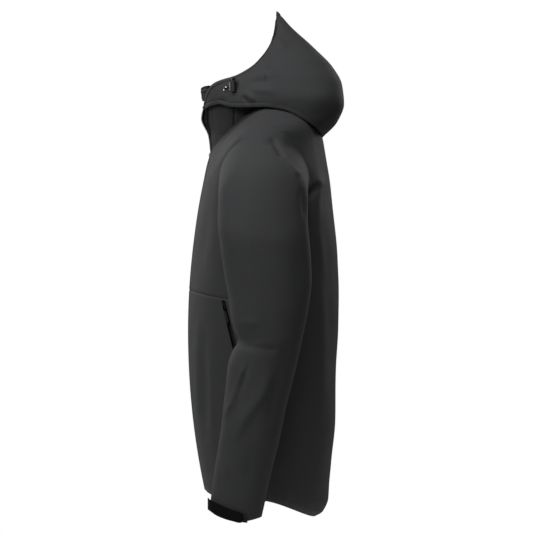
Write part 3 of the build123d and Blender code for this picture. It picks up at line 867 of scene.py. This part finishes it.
def sleeve_grid(side):
    """The whole left sleeve from the armhole to its foot."""
    front = ease((-sine - 0.35) / 0.4)
    # Each ring of the root: how far past the armhole and how deep it lies, then the same in front.
    root = [(20, 2.0, 6, 3.0), (12, 0.3, 3, 1.5), (5, -0.8, 0.5, 0.8), (-2, -1.8, -2, 0.5)]
    stations = [
        armhole_ring(side, armhole_radius + far + (near - far) * front, sink + (front_sink - sink) * front)
        for far, sink, near, front_sink in root
    ]
    stations += [tipped_ring(*values) for values in cap_stations]
    heights = np.arange(-235, CUFF_Z, -9.0)
    stations += [sleeve_ring(z) for z in heights] + [sleeve_ring(CUFF_Z)]
    keys = [-0.25, -0.16, -0.08, 0.0, 0.62, 1.0] + [arm_key(z) for z in (*heights, CUFF_Z)]
    split = arm_key(SPLIT_Z)
    cap, arm, rest = np.linspace(keys[0], 1, 42), np.linspace(1, split, 29), np.linspace(split, keys[-1], 108)
    at = np.concatenate([cap[:-1], arm, rest[1:]])
    grid = curve(keys, np.array(stations), at)
    normals = grid_normals(grid, closed=True)
    strength = 1.0 if side == LEFT else 0.75
    below_root = ease(at / 0.5)[:, None, None]
    folded = crumple(grid, normals, sleeve_folds, 1, strength)
    grid = crumple(grid, normals, shoulder_folds, 1, strength) + (folded - grid) * below_root
    grid = crumple(grid, normals, sleeve_inner_folds, -1, strength)
    quiet = ease(at / 0.8) * ease((keys[-1] - at) / 1.2)
    return ripple(grid, normals, 1.8, 14 + side, quiet[:, None]), at, split


def root_normals(side, grid, at):
    """The sleeve's normals, turned to the torso's where the top of the cap runs on from it."""
    normals = grid_normals(grid, closed=True)
    radius = armhole_radius + 14
    root = torso_face(torso[side], shoulder[1] + radius * sine, shoulder[2] + radius * cosine)[1]
    share = (1 - ease((at + 0.18) / 0.42))[:, None] * ease((cosine - 0.1) / 0.4)
    return unit(normals + (root - normals) * share[..., None])


def sleeve_pieces():
    """Each sleeve in two pieces: cap and upper arm, then elbow and forearm."""
    for side, name in SIDES:
        grid, at, split = sleeve_grid(side)
        shade = mirrored(root_normals(side, grid, at), side)
        above = np.tile(((at[1:] + at[:-1]) / 2 < split)[:, None], ROUND)
        thickness = 1.2 + ease((at - at[-1] + 0.45) / 0.2)[:, None]
        sheet = {"grid": mirrored(grid, side), "thickness": thickness, "closed": True, "flip": side == RIGHT}
        upper = cloth(f"{name}_upper_sleeve_cloth", keep=above, shade=shade, **sheet)
        lower = cloth(f"{name}_forearm_cloth", keep=~above, **sheet)
        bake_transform(upper)
        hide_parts(f"{name}_upper_sleeve")
        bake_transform(lower)
        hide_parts(f"{name}_forearm_sleeve", f"{name}_elbow_fabric")


sleeve_pieces()


# ---------------- hood
# Height, Y of the widest point, half width, and the reach to the front and to the back
hood_levels = [
    (-60, -45, 112, 120, 76), (-17, -45, 122, 138, 119), (14, -45, 124, 146, 130), (49, -45, 112, 151, 126),
    (86, -45, 84, 118, 107), (129, -45, 48, 62, 67), (174, -44, 14, 18, 19), (196, -47, 2.5, 3, 3),
]
# Outlines in side view, Y against Z: the face opening on each side, and the lower rim
face_top = [
    (-124, 64), (-106, 73.5), (-90, 85), (-79, 97), (-67, 113), (-58, 130), (-51, 150), (-48, 165),
    (-46, 194),
]
face_opening = {
    LEFT: [(-190, 2), (-187, 15), (-181, 34), (-172, 47), (-162, 53)] + face_top,
    RIGHT: [(-198, 42), (-196, 49), (-191, 53.5), (-183, 55.5), (-165, 57)] + face_top,
}
hood_back_rim = [(-135, 3), (-110, 1), (-70, 0.5), (-32, -5), (4, -22), (30, -39), (41, -49), (80, -80)]
hood_rim = {
    LEFT: [(-200, 3), (-187, 3.5), (-172, 8), (-157, 9.5)] + hood_back_rim,
    RIGHT: [(-200, 34), (-194, 27), (-187, 23), (-178, 16), (-165, 10)] + hood_back_rim,
}
FRONT_SPREAD = {LEFT: 14.0, RIGHT: 48.0}    # how far from the middle the hood's front ends stay
HOOD_TOP = 196.0
hood_folds = {
    LEFT: [
        Fold([(-112, 34), (-100, 24), (-85, 8)], 4.0, 4.5, 7),
        Fold([(-114, 26), (-104, 14), (-96, 4)], -3.2, 4),
        Fold([(-106, 40), (-80, 33), (-40, 28)], 3.2, 7, fade=0.45),
        Fold([(-108, 48), (-84, 50), (-50, 50)], -2.6, 7, fade=0.45),
        Fold([(-100, 56), (-80, 62), (-34, 60)], 2.6, 8, fade=0.45),
        Fold([(-46, 178), (-44, 164), (-46, 148), (-54, 134)], -2.4, 3.5),
        Fold([(-160, 20), (-150, 16), (-136, 14)], -2.0, 5),
        Fold([(-60, 120), (-48, 96), (-46, 70)], -1.2, 12, fade=0.5),
        Fold([(-50, 150), (-40, 132), (-22, 116)], 2.2, 9, fade=0.45),
        Fold([(70, 40), (40, 22), (0, 12)], 1.2, 16, fade=0.5),
        Fold([(60, 0), (30, -14), (0, -10)], -1.0, 12, fade=0.5),
    ],
    RIGHT: [
        Fold([(-112, 34), (-96, 20), (-80, 6)], 2.4, 6),
        Fold([(-106, 44), (-76, 40), (-40, 44)], 2.2, 8, fade=0.45),
        Fold([(-56, 140), (-40, 110), (-44, 74)], -2.6, 10, fade=0.45),
        Fold([(68, 30), (36, 30), (0, 18)], 2.5, 13, fade=0.5),
    ],
}


def hood_point(angle, z):
    """A point of the hood's face at an angle from the front and a height, on the left side."""
    level = curve([v[0] for v in hood_levels], [v[1:] for v in hood_levels], z)
    y_mid, half, front, back = np.moveaxis(level, -1, 0)
    c = np.cos(angle)
    fullness = np.where(c > 0, 1.0, 0.60 + 0.24 * ease(z / 90))
    x = half * np.clip(np.sin(angle), 0, 1) ** fullness
    y = y_mid - np.where(c > 0, front, back) * np.sign(c) * abs(c) ** fullness
    return np.stack([np.clip(x, 0, None), y, z + 0 * x], -1)


def crossing(angle, outline):
    """The height where the hood's face meets an outline in side view, for each angle."""
    heights = np.linspace(-60, HOOD_TOP, 600)
    y = hood_point(angle[:, None], heights[None, :])[..., 1]
    above = heights[None, :] - along(outline, y)
    found = []
    for row in above:
        past = np.nonzero(row >= 0)[0]
        i = max(1, past[0]) if len(past) else len(heights) - 1
        span = row[i] - row[i - 1]
        share = np.clip(-row[i - 1] / span, 0, 1) if span > 1e-9 else 1.0
        found.append(heights[i - 1] + share * (heights[i] - heights[i - 1]))
    return np.array(found)


def hood_half(side):
    """One side of the hood from its front end to the middle of the back."""
    first = math.asin(12 / 124)     # the front end, 12 mm from the middle
    fine = np.linspace(first, math.pi, 2000)
    closeness = np.cumsum(1 + 2.4 * np.exp(-((np.degrees(fine) - 85) / 11) ** 2))
    angle = np.interp(np.linspace(closeness[0], closeness[-1], 126), closeness, fine)
    share = (angle - first) / (math.pi - first)
    foot = crossing(angle, hood_rim[side])
    top = np.where(angle > math.radians(91), HOOD_TOP, crossing(angle, face_opening[side]))
    top = np.maximum(top, foot + 3)
    rows = np.concatenate([[0, 0.004, 0.012, 0.022, 0.032], np.linspace(0.045, 0.975, 74), [0.988, 1.0]])
    z = top + (foot - top) * rows[:, None]
    grid = hood_point(np.broadcast_to(angle, z.shape), z)
    ahead = ease((-150 - grid[..., 1]) / 42)
    grid[..., 0] += ahead * np.clip(FRONT_SPREAD[side] - grid[..., 0], 0, None)
    normals = grid_normals(grid)
    # The cloth stays smooth under the cord lock.
    near_lock = np.exp(-((grid[..., 1] + 128) / 24) ** 2 - ((grid[..., 2] - 38) / 20) ** 2)
    folded = crumple(grid, normals, hood_folds[side], 1)
    grid = grid + (folded - grid) * (1 - near_lock)[..., None]
    quiet = ease(rows / 0.15)[:, None] * ease((1 - share) / 0.06) * (1 - near_lock)
    return ripple(grid, normals, 1.7, 24 + side, quiet)


def edge_tunnel(grid, width, depth=0.9, puff=0.7, from_end=False):
    """A turned edge sewn down: cloth puffed over the turning and pressed in along its stitches."""
    order = -1 if from_end else 1
    reach = walked(grid[::order])[::order]
    lift = puff * np.clip(1 - ((reach - width / 2) / (width / 2)) ** 2, 0, 1)
    lift -= depth * np.exp(-(((reach - width) / 1.4) ** 2))
    return grid + grid_normals(grid) * lift[..., None]


def hood_pieces():
    """The hood with its turned face opening, and the cloth that joins it to the neck."""
    grid = edge_tunnel(whole(hood_half(LEFT), mirrored(hood_half(RIGHT), RIGHT)), 9.5)
    grid = edge_tunnel(grid, 8.0, 0.6, 0.5, from_end=True)
    hood = cloth("hood_cloth", grid, 1.3, faced=walked(grid)[1:, 1:] < 30)
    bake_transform(hood)
    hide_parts("left_hood_panel", "right_hood_panel")
    for name, distance, from_end in (("hood_opening_stitches", 9.5, False), ("hood_rim_stitches", 8.0, True)):
        line, out = row_at(grid, distance, from_end=from_end)
        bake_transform(stitches(name, line[2:-2], out[2:-2]))

    # A gaiter, slack while the hood rests, from the neck seam to the hood's inner face
    first = math.radians(24)
    angle = first + (math.pi - first) * np.linspace(0, 1, 141)
    c = np.cos(angle)
    ring_y = np.where(c > 0, -62 - 106 * c, -62 - 68 * c)
    ring_z = 13 - np.where(c > 0, 84 * abs(c) ** 1.5, -1)
    low = np.stack([80 * np.sin(angle), ring_y, ring_z - 4], -1)
    top_z = 26 + 32 * ease((np.degrees(angle) - 30) / 60)
    high = hood_point(angle, top_z)
    high[:, :2] = (high[:, :2] - (0, -45)) * 0.955 + (0, -45)
    step = np.linspace(1, 0, 26)[:, None, None]
    half = low * (1 - step) + high * step
    half[..., 2] -= 14 * np.sin(step[..., 0] * math.pi) * ease((np.degrees(angle) - 40) / 60)
    half = seam_groove(half, grid_normals(half), abs(half[..., 1] + 127), depth=3.0, width=1.8)
    gaiter = cloth("hood_gaiter", whole(half, mirrored(half, RIGHT)), 0.9)
    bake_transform(gaiter)
    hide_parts("hood_neck_band")


hood_pieces()

# ---------------- collar
# Front edge (X, Y, Z), side (X, Y, Z) and back (Y, Z), from the top edge to the neck seam
collar_side_back = [
    (72, -86, 52, -4, 58), (73, -80, 47, -2, 51), (74, -72, 38, 0, 40), (75, -66, 27, 3, 28),
    (76.5, -62, 12, 4.5, 13),
]
collar_front = {
    LEFT: [(42, -175, 38), (38, -177, 18), (28, -177, -12), (20, -173, -44), (15.5, -171, -77)],
    RIGHT: [(26, -175, 37), (13, -184, 14), (9, -190, -12), (14, -175.5, -44), (15.5, -171, -77)],
}


def collar_half(side):
    """One side of the stand-up collar from its front edge to the middle of the back."""
    count = np.arange(5)
    rows = np.linspace(0, 4, 41)
    fx, fy, fz = curve(count, collar_front[side], rows).T[:, :, None]
    sx, sy, sz, by, bz = curve(count, collar_side_back, rows).T[:, :, None]
    share = np.linspace(0, 1, 71)[None, :]
    first = np.arcsin(fx / sx)
    angle = first + (math.pi - first) * share
    c = np.cos(angle)
    reach = np.where(c > 0, c / np.cos(first), -c)
    x = sx * np.clip(np.sin(angle), 0, 1)
    y = sy + (np.where(c > 0, fy, by) - sy) * reach
    drop = 2.2 - 0.7 * ease(rows / 4)[:, None]
    z = np.where(c > 0, sz + (fz - sz) * reach**drop, sz + (bz - sz) * reach**2)
    return np.stack([x, y, z], -1)


def collar_pieces():
    """The collar, its zip tapes and coils, and the brushed patches behind the chin."""
    halves = {side: mirrored(collar_half(side), side) for side in (LEFT, RIGHT)}
    grid = edge_tunnel(whole(halves[LEFT], halves[RIGHT]), 5.0, 0.6, 0.5)
    collar = cloth("collar_cloth", grid, 1.6)
    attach(collar, "torso")
    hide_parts("left_collar", "right_collar")
    for side, name in SIDES:
        half = halves[side]
        edge = half[:, 0]
        inward = unit(half[:, 0] - half[:, 2])
        out = grid_normals(half)[:, 0] * side
        tape = edge[:, None] + inward[:, None] * np.linspace(-3, 11, 8)[:, None] - out[:, None]
        tape = cloth(f"{name}_collar_tape", tape, 0.8, "zip_tape", "zip_tape", flip=side == LEFT)
        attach(tape, "torso")
        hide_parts(f"{name}_collar_zip_tape")
        parts = coil((edge + inward * 10.5 - out * 0.6)[::-1], inward[::-1], out[::-1])
        teeth = merge(f"{name}_collar_teeth", parts, "zip_coil")
        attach(teeth, "torso")
    for side, patch in ((LEFT, grid[2:18, 4:22]), (RIGHT, grid[2:18, -22:-4])):
        patch = patch - grid_normals(patch) * 2.0
        piece = cloth(f"{SIDE_NAME[side]}_chin_guard", patch, 0.8, "lining", "lining")
        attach(piece, "torso")
        if side == LEFT:
            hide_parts("chin_guards")


def coil(line, inward, out, phase=0.0):
    """The teeth of one half of a coil zip: small rods across it, rising in the middle."""
    pitch, width, radius = 1.6, 3.6, 0.55
    reach = walked(line)
    share = np.linspace(0, 1, 5)[:, None]
    arch = 0.5 + 0.75 * np.sin(share * math.pi) ** 0.6
    parts = []
    for at in np.arange(pitch * (0.5 + phase), reach[-1], pitch):
        here, way, up = [sample(at, reach, values) for values in (line, inward, out)]
        rod = here - way * (width * (1 - share)) + up * arch
        parts.append(tube(rod, radius * np.array([0.8, 0.9, 1.0, 1.15, 1.25]), sides=6, up=up))
    return parts


collar_pieces()


# ---------------- zips
class Place:
    """A small flat frame on a surface: local x across, y along and z outward, in millimetres."""

    def __init__(self, origin, out, up):
        self.origin = np.asarray(origin, float)
        self.z = unit(np.asarray(out, float))
        self.x = unit(np.cross(up, self.z))
        self.y = np.cross(self.z, self.x)

    def points(self, local):
        local = np.asarray(local, float)
        return self.origin + local[..., :1] * self.x + local[..., 1:2] * self.y + local[..., 2:] * self.z


def prism(place, outline, low, high):
    """A plate with an outline in its place's x and y, between two heights."""
    n = len(outline)
    points = [(x, y, z) for z in (low, high) for x, y in outline]
    faces = [list(range(n))[::-1], list(range(n, 2 * n))]
    faces += [[i, (i + 1) % n, n + (i + 1) % n, n + i] for i in range(n)]
    return place.points(points), faces


def rounded(width, height, radius, steps=4):
    """The outline of a rectangle with round corners, anticlockwise."""
    outline = []
    for cx, cy, start in ((1, 1, 0), (-1, 1, 90), (-1, -1, 180), (1, -1, 270)):
        x, y = cx * (width / 2 - radius), cy * (height / 2 - radius)
        for i in range(steps + 1):
            a = math.radians(start + 90 * i / steps)
            outline.append((x + radius * math.cos(a), y + radius * math.sin(a)))
    return outline


def bevelled(thing, width):
    """Small rounded edges on a hard piece."""
    bevel = thing.modifiers.new("edges", "BEVEL")
    bevel.width = width * MM
    bevel.segments = 2
    bevel.limit_method = "ANGLE"
    bevel.angle_limit = math.radians(35)
    bevel.harden_normals = False
    for polygon in thing.data.polygons:
        polygon.use_smooth = False
    return thing


FRONT_SLIDER_Z = -84.0
FRONT_TAPE, POCKET_TAPE = 21.0, 8.5         # half widths of the zips
FRONT_PULL, POCKET_PULL = 36.0, 30.0        # lengths of their pulls
POCKET_OUT = np.array((0.861, -0.507, -0.0207))     # the way the left pocket faces
POCKET_SLIDER_RISE = 74.0                   # from the middle of the pocket's zip to its slider
slider_outline = [
    (-2.6, -6.5), (2.6, -6.5), (3.4, -5.6), (4.5, -1.5), (4.5, 2.6), (3.2, 5.6), (1.8, 6.5), (-1.8, 6.5),
    (-3.2, 5.6), (-4.5, 2.6), (-4.5, -1.5), (-3.4, -5.6),
]


def slider_and_pull(name, place, bodies, pull_length):
    """A zip slider with its bridge, and a moulded pull on a wire loop.

    bodies is what the names of the slider's and the pull's bodies start with."""
    parts = [
        prism(place, slider_outline, -3.0, -1.7),
        prism(place, slider_outline, 2.3, 3.7),
        prism(place, [(-0.8, 1.0), (0.8, 1.0), (0.8, 5.0), (-0.8, 5.0)], -1.8, 2.4),
    ]
    body_piece = bevelled(merge(name + "_slider_body", parts, "hardware"), 0.35)
    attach(body_piece, bodies + "_slider")
    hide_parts(name + "_slider")
    turn = np.linspace(0, math.pi, 13)
    arch = np.stack([0 * turn, -3.4 * np.cos(turn), 3.4 + 3.0 * np.sin(turn) ** 0.7], -1)
    bridge = tube(place.points(arch), 1.15, squash=0.55, up=place.z)
    bridge = merge(name + "_slider_bridge", [bridge], "hardware")
    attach(bridge, bodies + "_slider")

    lift = 4.7
    leg = [(2.9, -9.6), (2.9, -1.2), (2.2, -0.2), (1.0, 0)]
    wire = dense([(-x, y, lift) for x, y in leg] + [(x, y, lift) for x, y in leg[::-1]], 30)
    wire_piece = merge(name + "_pull_loop", [tube(place.points(wire), 0.6, up=place.z)], "hardware")
    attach(wire_piece, bodies + "_pull")
    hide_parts(name + "_pull")
    grip_length = pull_length - 8.0
    grip = Place(place.points((0, -8.0 - grip_length / 2, lift)), place.z, place.y)
    waist = [(x * (0.80 + 0.20 * abs(y) / (grip_length / 2)), y) for x, y in rounded(7.4, grip_length, 2.6)]
    parts = [prism(grip, waist, -0.9, 0.9)]
    for i in range(5):
        rib = Place(grip.points((0, -grip_length * 0.30 + i * 2.6, 0.9)), grip.z, grip.y)
        parts.append(prism(rib, rounded(4.2, 1.1, 0.5, 2), -0.1, 0.35))
    grip_piece = bevelled(merge(name + "_pull_grip", parts, "pull"), 0.4)
    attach(grip_piece, bodies + "_pull")


def arc_place(z):
    """The place on the front zip at a height."""
    y = float(front_y(z))
    out = unit(np.array((0, y - zip_centre[0], z - zip_centre[1])))
    return Place(np.array((0, y, z)) - out * zip_sink, out, (0, 0, 1))


def front_zip():
    """Tapes, coils and slider of the front zip."""
    heights = np.linspace(-77, zip_foot_z, 150)
    turn = [arc_place(z) for z in heights]
    line = np.array([p.origin for p in turn])
    out = np.array([p.z for p in turn])
    keep = heights > zip_foot_z + 12
    for side, name in SIDES:
        outward = np.array((side, 0, 0))
        tape = line[:, None] + outward * np.linspace(1.0, FRONT_TAPE, 9)[:, None] - out[:, None] * 0.4
        piece = cloth(f"{name}_front_tape", tape, 0.7, "zip_tape", "zip_tape", flip=side == RIGHT)
        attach(piece, "torso")
        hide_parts(f"{name}_front_zip_tape")
        start = (line - outward * 0.5 - out * 0.3)[keep]
        parts = coil(start, np.tile(-outward, (len(start), 1)), out[keep], 0.0 if side == LEFT else 0.5)
        teeth = merge(f"{name}_front_teeth", parts, "zip_coil")
        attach(teeth, "torso")
        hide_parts(f"{name}_front_zip_coil")
    slider_and_pull("front_zip", arc_place(FRONT_SLIDER_Z), "front_zip", FRONT_PULL)


front_zip()


def hand_pockets():
    """Zips of the two hand pockets, set into the slots of the lower front panels."""
    centre = (pocket_top + pocket_foot) / 2
    run = pocket_foot - pocket_top
    length = np.linalg.norm(run)
    for side, name in SIDES:
        flip = np.array((side, 1, 1))
        place = Place(centre * flip, POCKET_OUT * flip, -run * flip)
        steps = np.linspace(length / 2, -length / 2, 60)
        line = place.points(np.stack([0 * steps, steps, 0 * steps], -1))
        ways, outs = np.tile(place.x, (60, 1)), np.tile(place.z, (60, 1))
        for hand, half in ((1, "fore"), (-1, "rear")):
            across = ways[:, None] * (hand * np.linspace(1.0, POCKET_TAPE, 5))[:, None]
            tape = line[:, None] + across - outs[:, None] * 0.5
            piece = cloth(f"{name}_pocket_tape_{half}", tape, 0.7, "zip_tape", "zip_tape", flip=hand < 0)
            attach(piece, "torso")
            parts = coil(line + ways * hand * -0.5 - outs * 0.3, ways * -hand, outs, 0.0 if hand > 0 else 0.5)
            teeth = merge(f"{name}_pocket_teeth_{half}", parts, "zip_coil")
            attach(teeth, "torso")
            if hand > 0:
                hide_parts(f"{name}_pocket_zip_tape")
                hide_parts(f"{name}_pocket_zip_coil")
        top = Place(place.points((0, POCKET_SLIDER_RISE, 0)), place.z, place.y)
        slider_and_pull(f"{name}_pocket_zip", top, f"{name}_pocket", POCKET_PULL)


hand_pockets()


# ---------------- cuffs
CUFF_X, CUFF_HALF_WIDTH = 274.0, 37.6
TAB_Z = -740.0
tab_top = [(-180, -719), (-165, -724), (-111, -743), (-90, -746)]
strip_top = [(y, z - 2) for y, z in tab_top]


def cuff_strip(start, end, top_of, width, offset, thickness, name, slot, side, taper=0.0):
    """A strip of cloth or tape that lies on the cuff, between two angles from its outermost point.

    Positive angles are towards the front. top_of gives the strip's upper edge for each Y."""
    angle = np.radians(np.linspace(start, end, 40))
    front, back = along(sleeve_front, TAB_Z), along(sleeve_back, TAB_Z)
    deep = (back - front) / 2 + offset
    x = CUFF_X + (CUFF_HALF_WIDTH + offset) * np.cos(angle)
    y = (front + back) / 2 - deep * np.sin(angle)
    top = along(top_of, y)
    share = np.linspace(0, 1, 12)[:, None]
    round_off = taper * np.clip((np.linspace(0, 1, 40) - 0.90) / 0.10, 0, 1) ** 2
    z = top - width * (share * (1 - 2 * round_off) + round_off)
    grid = np.stack([np.broadcast_to(x, z.shape) * side, np.broadcast_to(y, z.shape), z], -1)
    return cloth(name, grid, thickness, slot, slot, flip=side == LEFT)


def cuff_pieces():
    """The facing inside each cuff, the tab, and the hook and loop that holds it."""
    for side, name in SIDES:
        grid, at, _ = sleeve_grid(side)
        low = grid[at > at[-1] - 0.55]
        facing = low - grid_normals(low, closed=True) * 2.6
        facing[-1] += (0, 0, 1.5)
        facing = mirrored(facing, side)
        piece = cloth(f"{name}_cuff_facing", facing, 0.8, "shell", "lining", closed=True, flip=side == RIGHT)
        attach(piece, f"{name}_forearm")
        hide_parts(f"{name}_cuff")
        for label, start, end, offset, body in (
            ("loop_strip", 70, -22, 0.9, "forearm"), ("hook_patch", 40, -10, 1.9, "cuff_tab"),
        ):
            tape = cuff_strip(start, end, strip_top, 16, offset, 0.7, f"{name}_{label}", "hook_loop", side)
            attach(tape, f"{name}_{body}")
            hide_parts(f"{name}_cuff_{label}")
        strap = cuff_strip(96, -13, tab_top, 20, 3.6, 1.6, f"{name}_tab_strap", "webbing", side, taper=0.22)
        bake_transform(strap)
        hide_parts(f"{name}_cuff_tab")


cuff_pieces()


# ---------------- hood adjusters
# Places on the left side, the ways they face, and how far the lock's barrel stands out
EYELET, EYELET_OUT = np.array((86.8, -144, 37.5)), np.array((0.827, -0.562, 0))
LOCK, LOCK_OUT = np.array((96.8, -126, 41)), np.array((0.907, -0.421, 0))
LOCK_RISE = 6.0


def lathe(place, profile, steps=40):
    """A solid turned from (radius, height) points about its place's z."""
    turn = np.arange(steps) * 2 * math.pi / steps
    points = []
    for radius, height in profile:
        points += [(radius * math.cos(a), radius * math.sin(a), height) for a in turn]
    return place.points(points), [[i % len(points) for i in face] for face in hoops(len(profile) + 1, steps)]


def hood_eyelets():
    """The nickel eyelets that the hood's cord comes out of."""
    turn = np.linspace(0, 2 * math.pi, 13)[:-1]
    ring = [(3.55 + 1.45 * math.cos(t), 1.2 + 0.75 * math.sin(t)) for t in turn]
    barrel = [(2.3, -3.0), (3.4, -3.0), (3.4, 1.0), (2.3, 1.0)]
    for side, name in SIDES:
        flip = (side, 1, 1)
        place = Place(EYELET * flip, EYELET_OUT * flip, (0, 0, 1))
        piece = merge(f"{name}_eyelet_ring", [lathe(place, ring), lathe(place, barrel)], "nickel")
        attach(piece, "hood")
        if side == LEFT:
            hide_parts("hood_eyelets")


def lock_springs():
    """The coil under each cord lock's button."""
    turns, length, drop = 3.5, 3.0, 6.6
    turn = np.linspace(0, 2 * math.pi * turns, 90)
    helix = np.stack([2.2 * np.cos(turn), np.linspace(0, length, 90) - drop, 2.2 * np.sin(turn)], -1)
    for side, name in SIDES:
        flip = (side, 1, 1)
        place = Place((LOCK + LOCK_RISE * LOCK_OUT) * flip, LOCK_OUT * flip, (0, 0, 1))
        spring = merge(f"{name}_spring", [tube(place.points(helix), 0.25, sides=6, up=place.y)], "nickel")
        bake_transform(spring)
        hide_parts(f"{name}_cord_lock_spring")


hood_eyelets()
lock_springs()


# ---------------- finishes of the CAD nodes that stay
SOLID = {
    "webbing": woven("webbing_solid", *WEBBING, twill=True, uv=False, shine=0.15),
    "shell": woven("shell_solid", *SHELL, uv=False),
    "lining": woven("lining_solid", *LINING, uv=False),
}
ROUNDED_NODES = {"front_zip_box": 0.4, "front_zip_pin": 0.3, "cord_lock_plates": 0.5}


def finish_nodes():
    """Give every CAD node that still shows its procedural material, and soften the edges of the few listed in
    ROUNDED_NODES.
    """
    slots = {part["node"]: part["material_slot"] for part in frame["record"]["subparts"]}
    for name, thing in frame["nodes"].items():
        if thing.hide_render:
            continue
        slot = slots[name]
        material = SOLID.get(slot) or MATERIAL[slot]
        thing.data.materials.clear()
        thing.data.materials.append(material)
        width = next((w for key, w in ROUNDED_NODES.items() if key in name), None)
        if width:
            bevelled(thing, width)


finish_nodes()
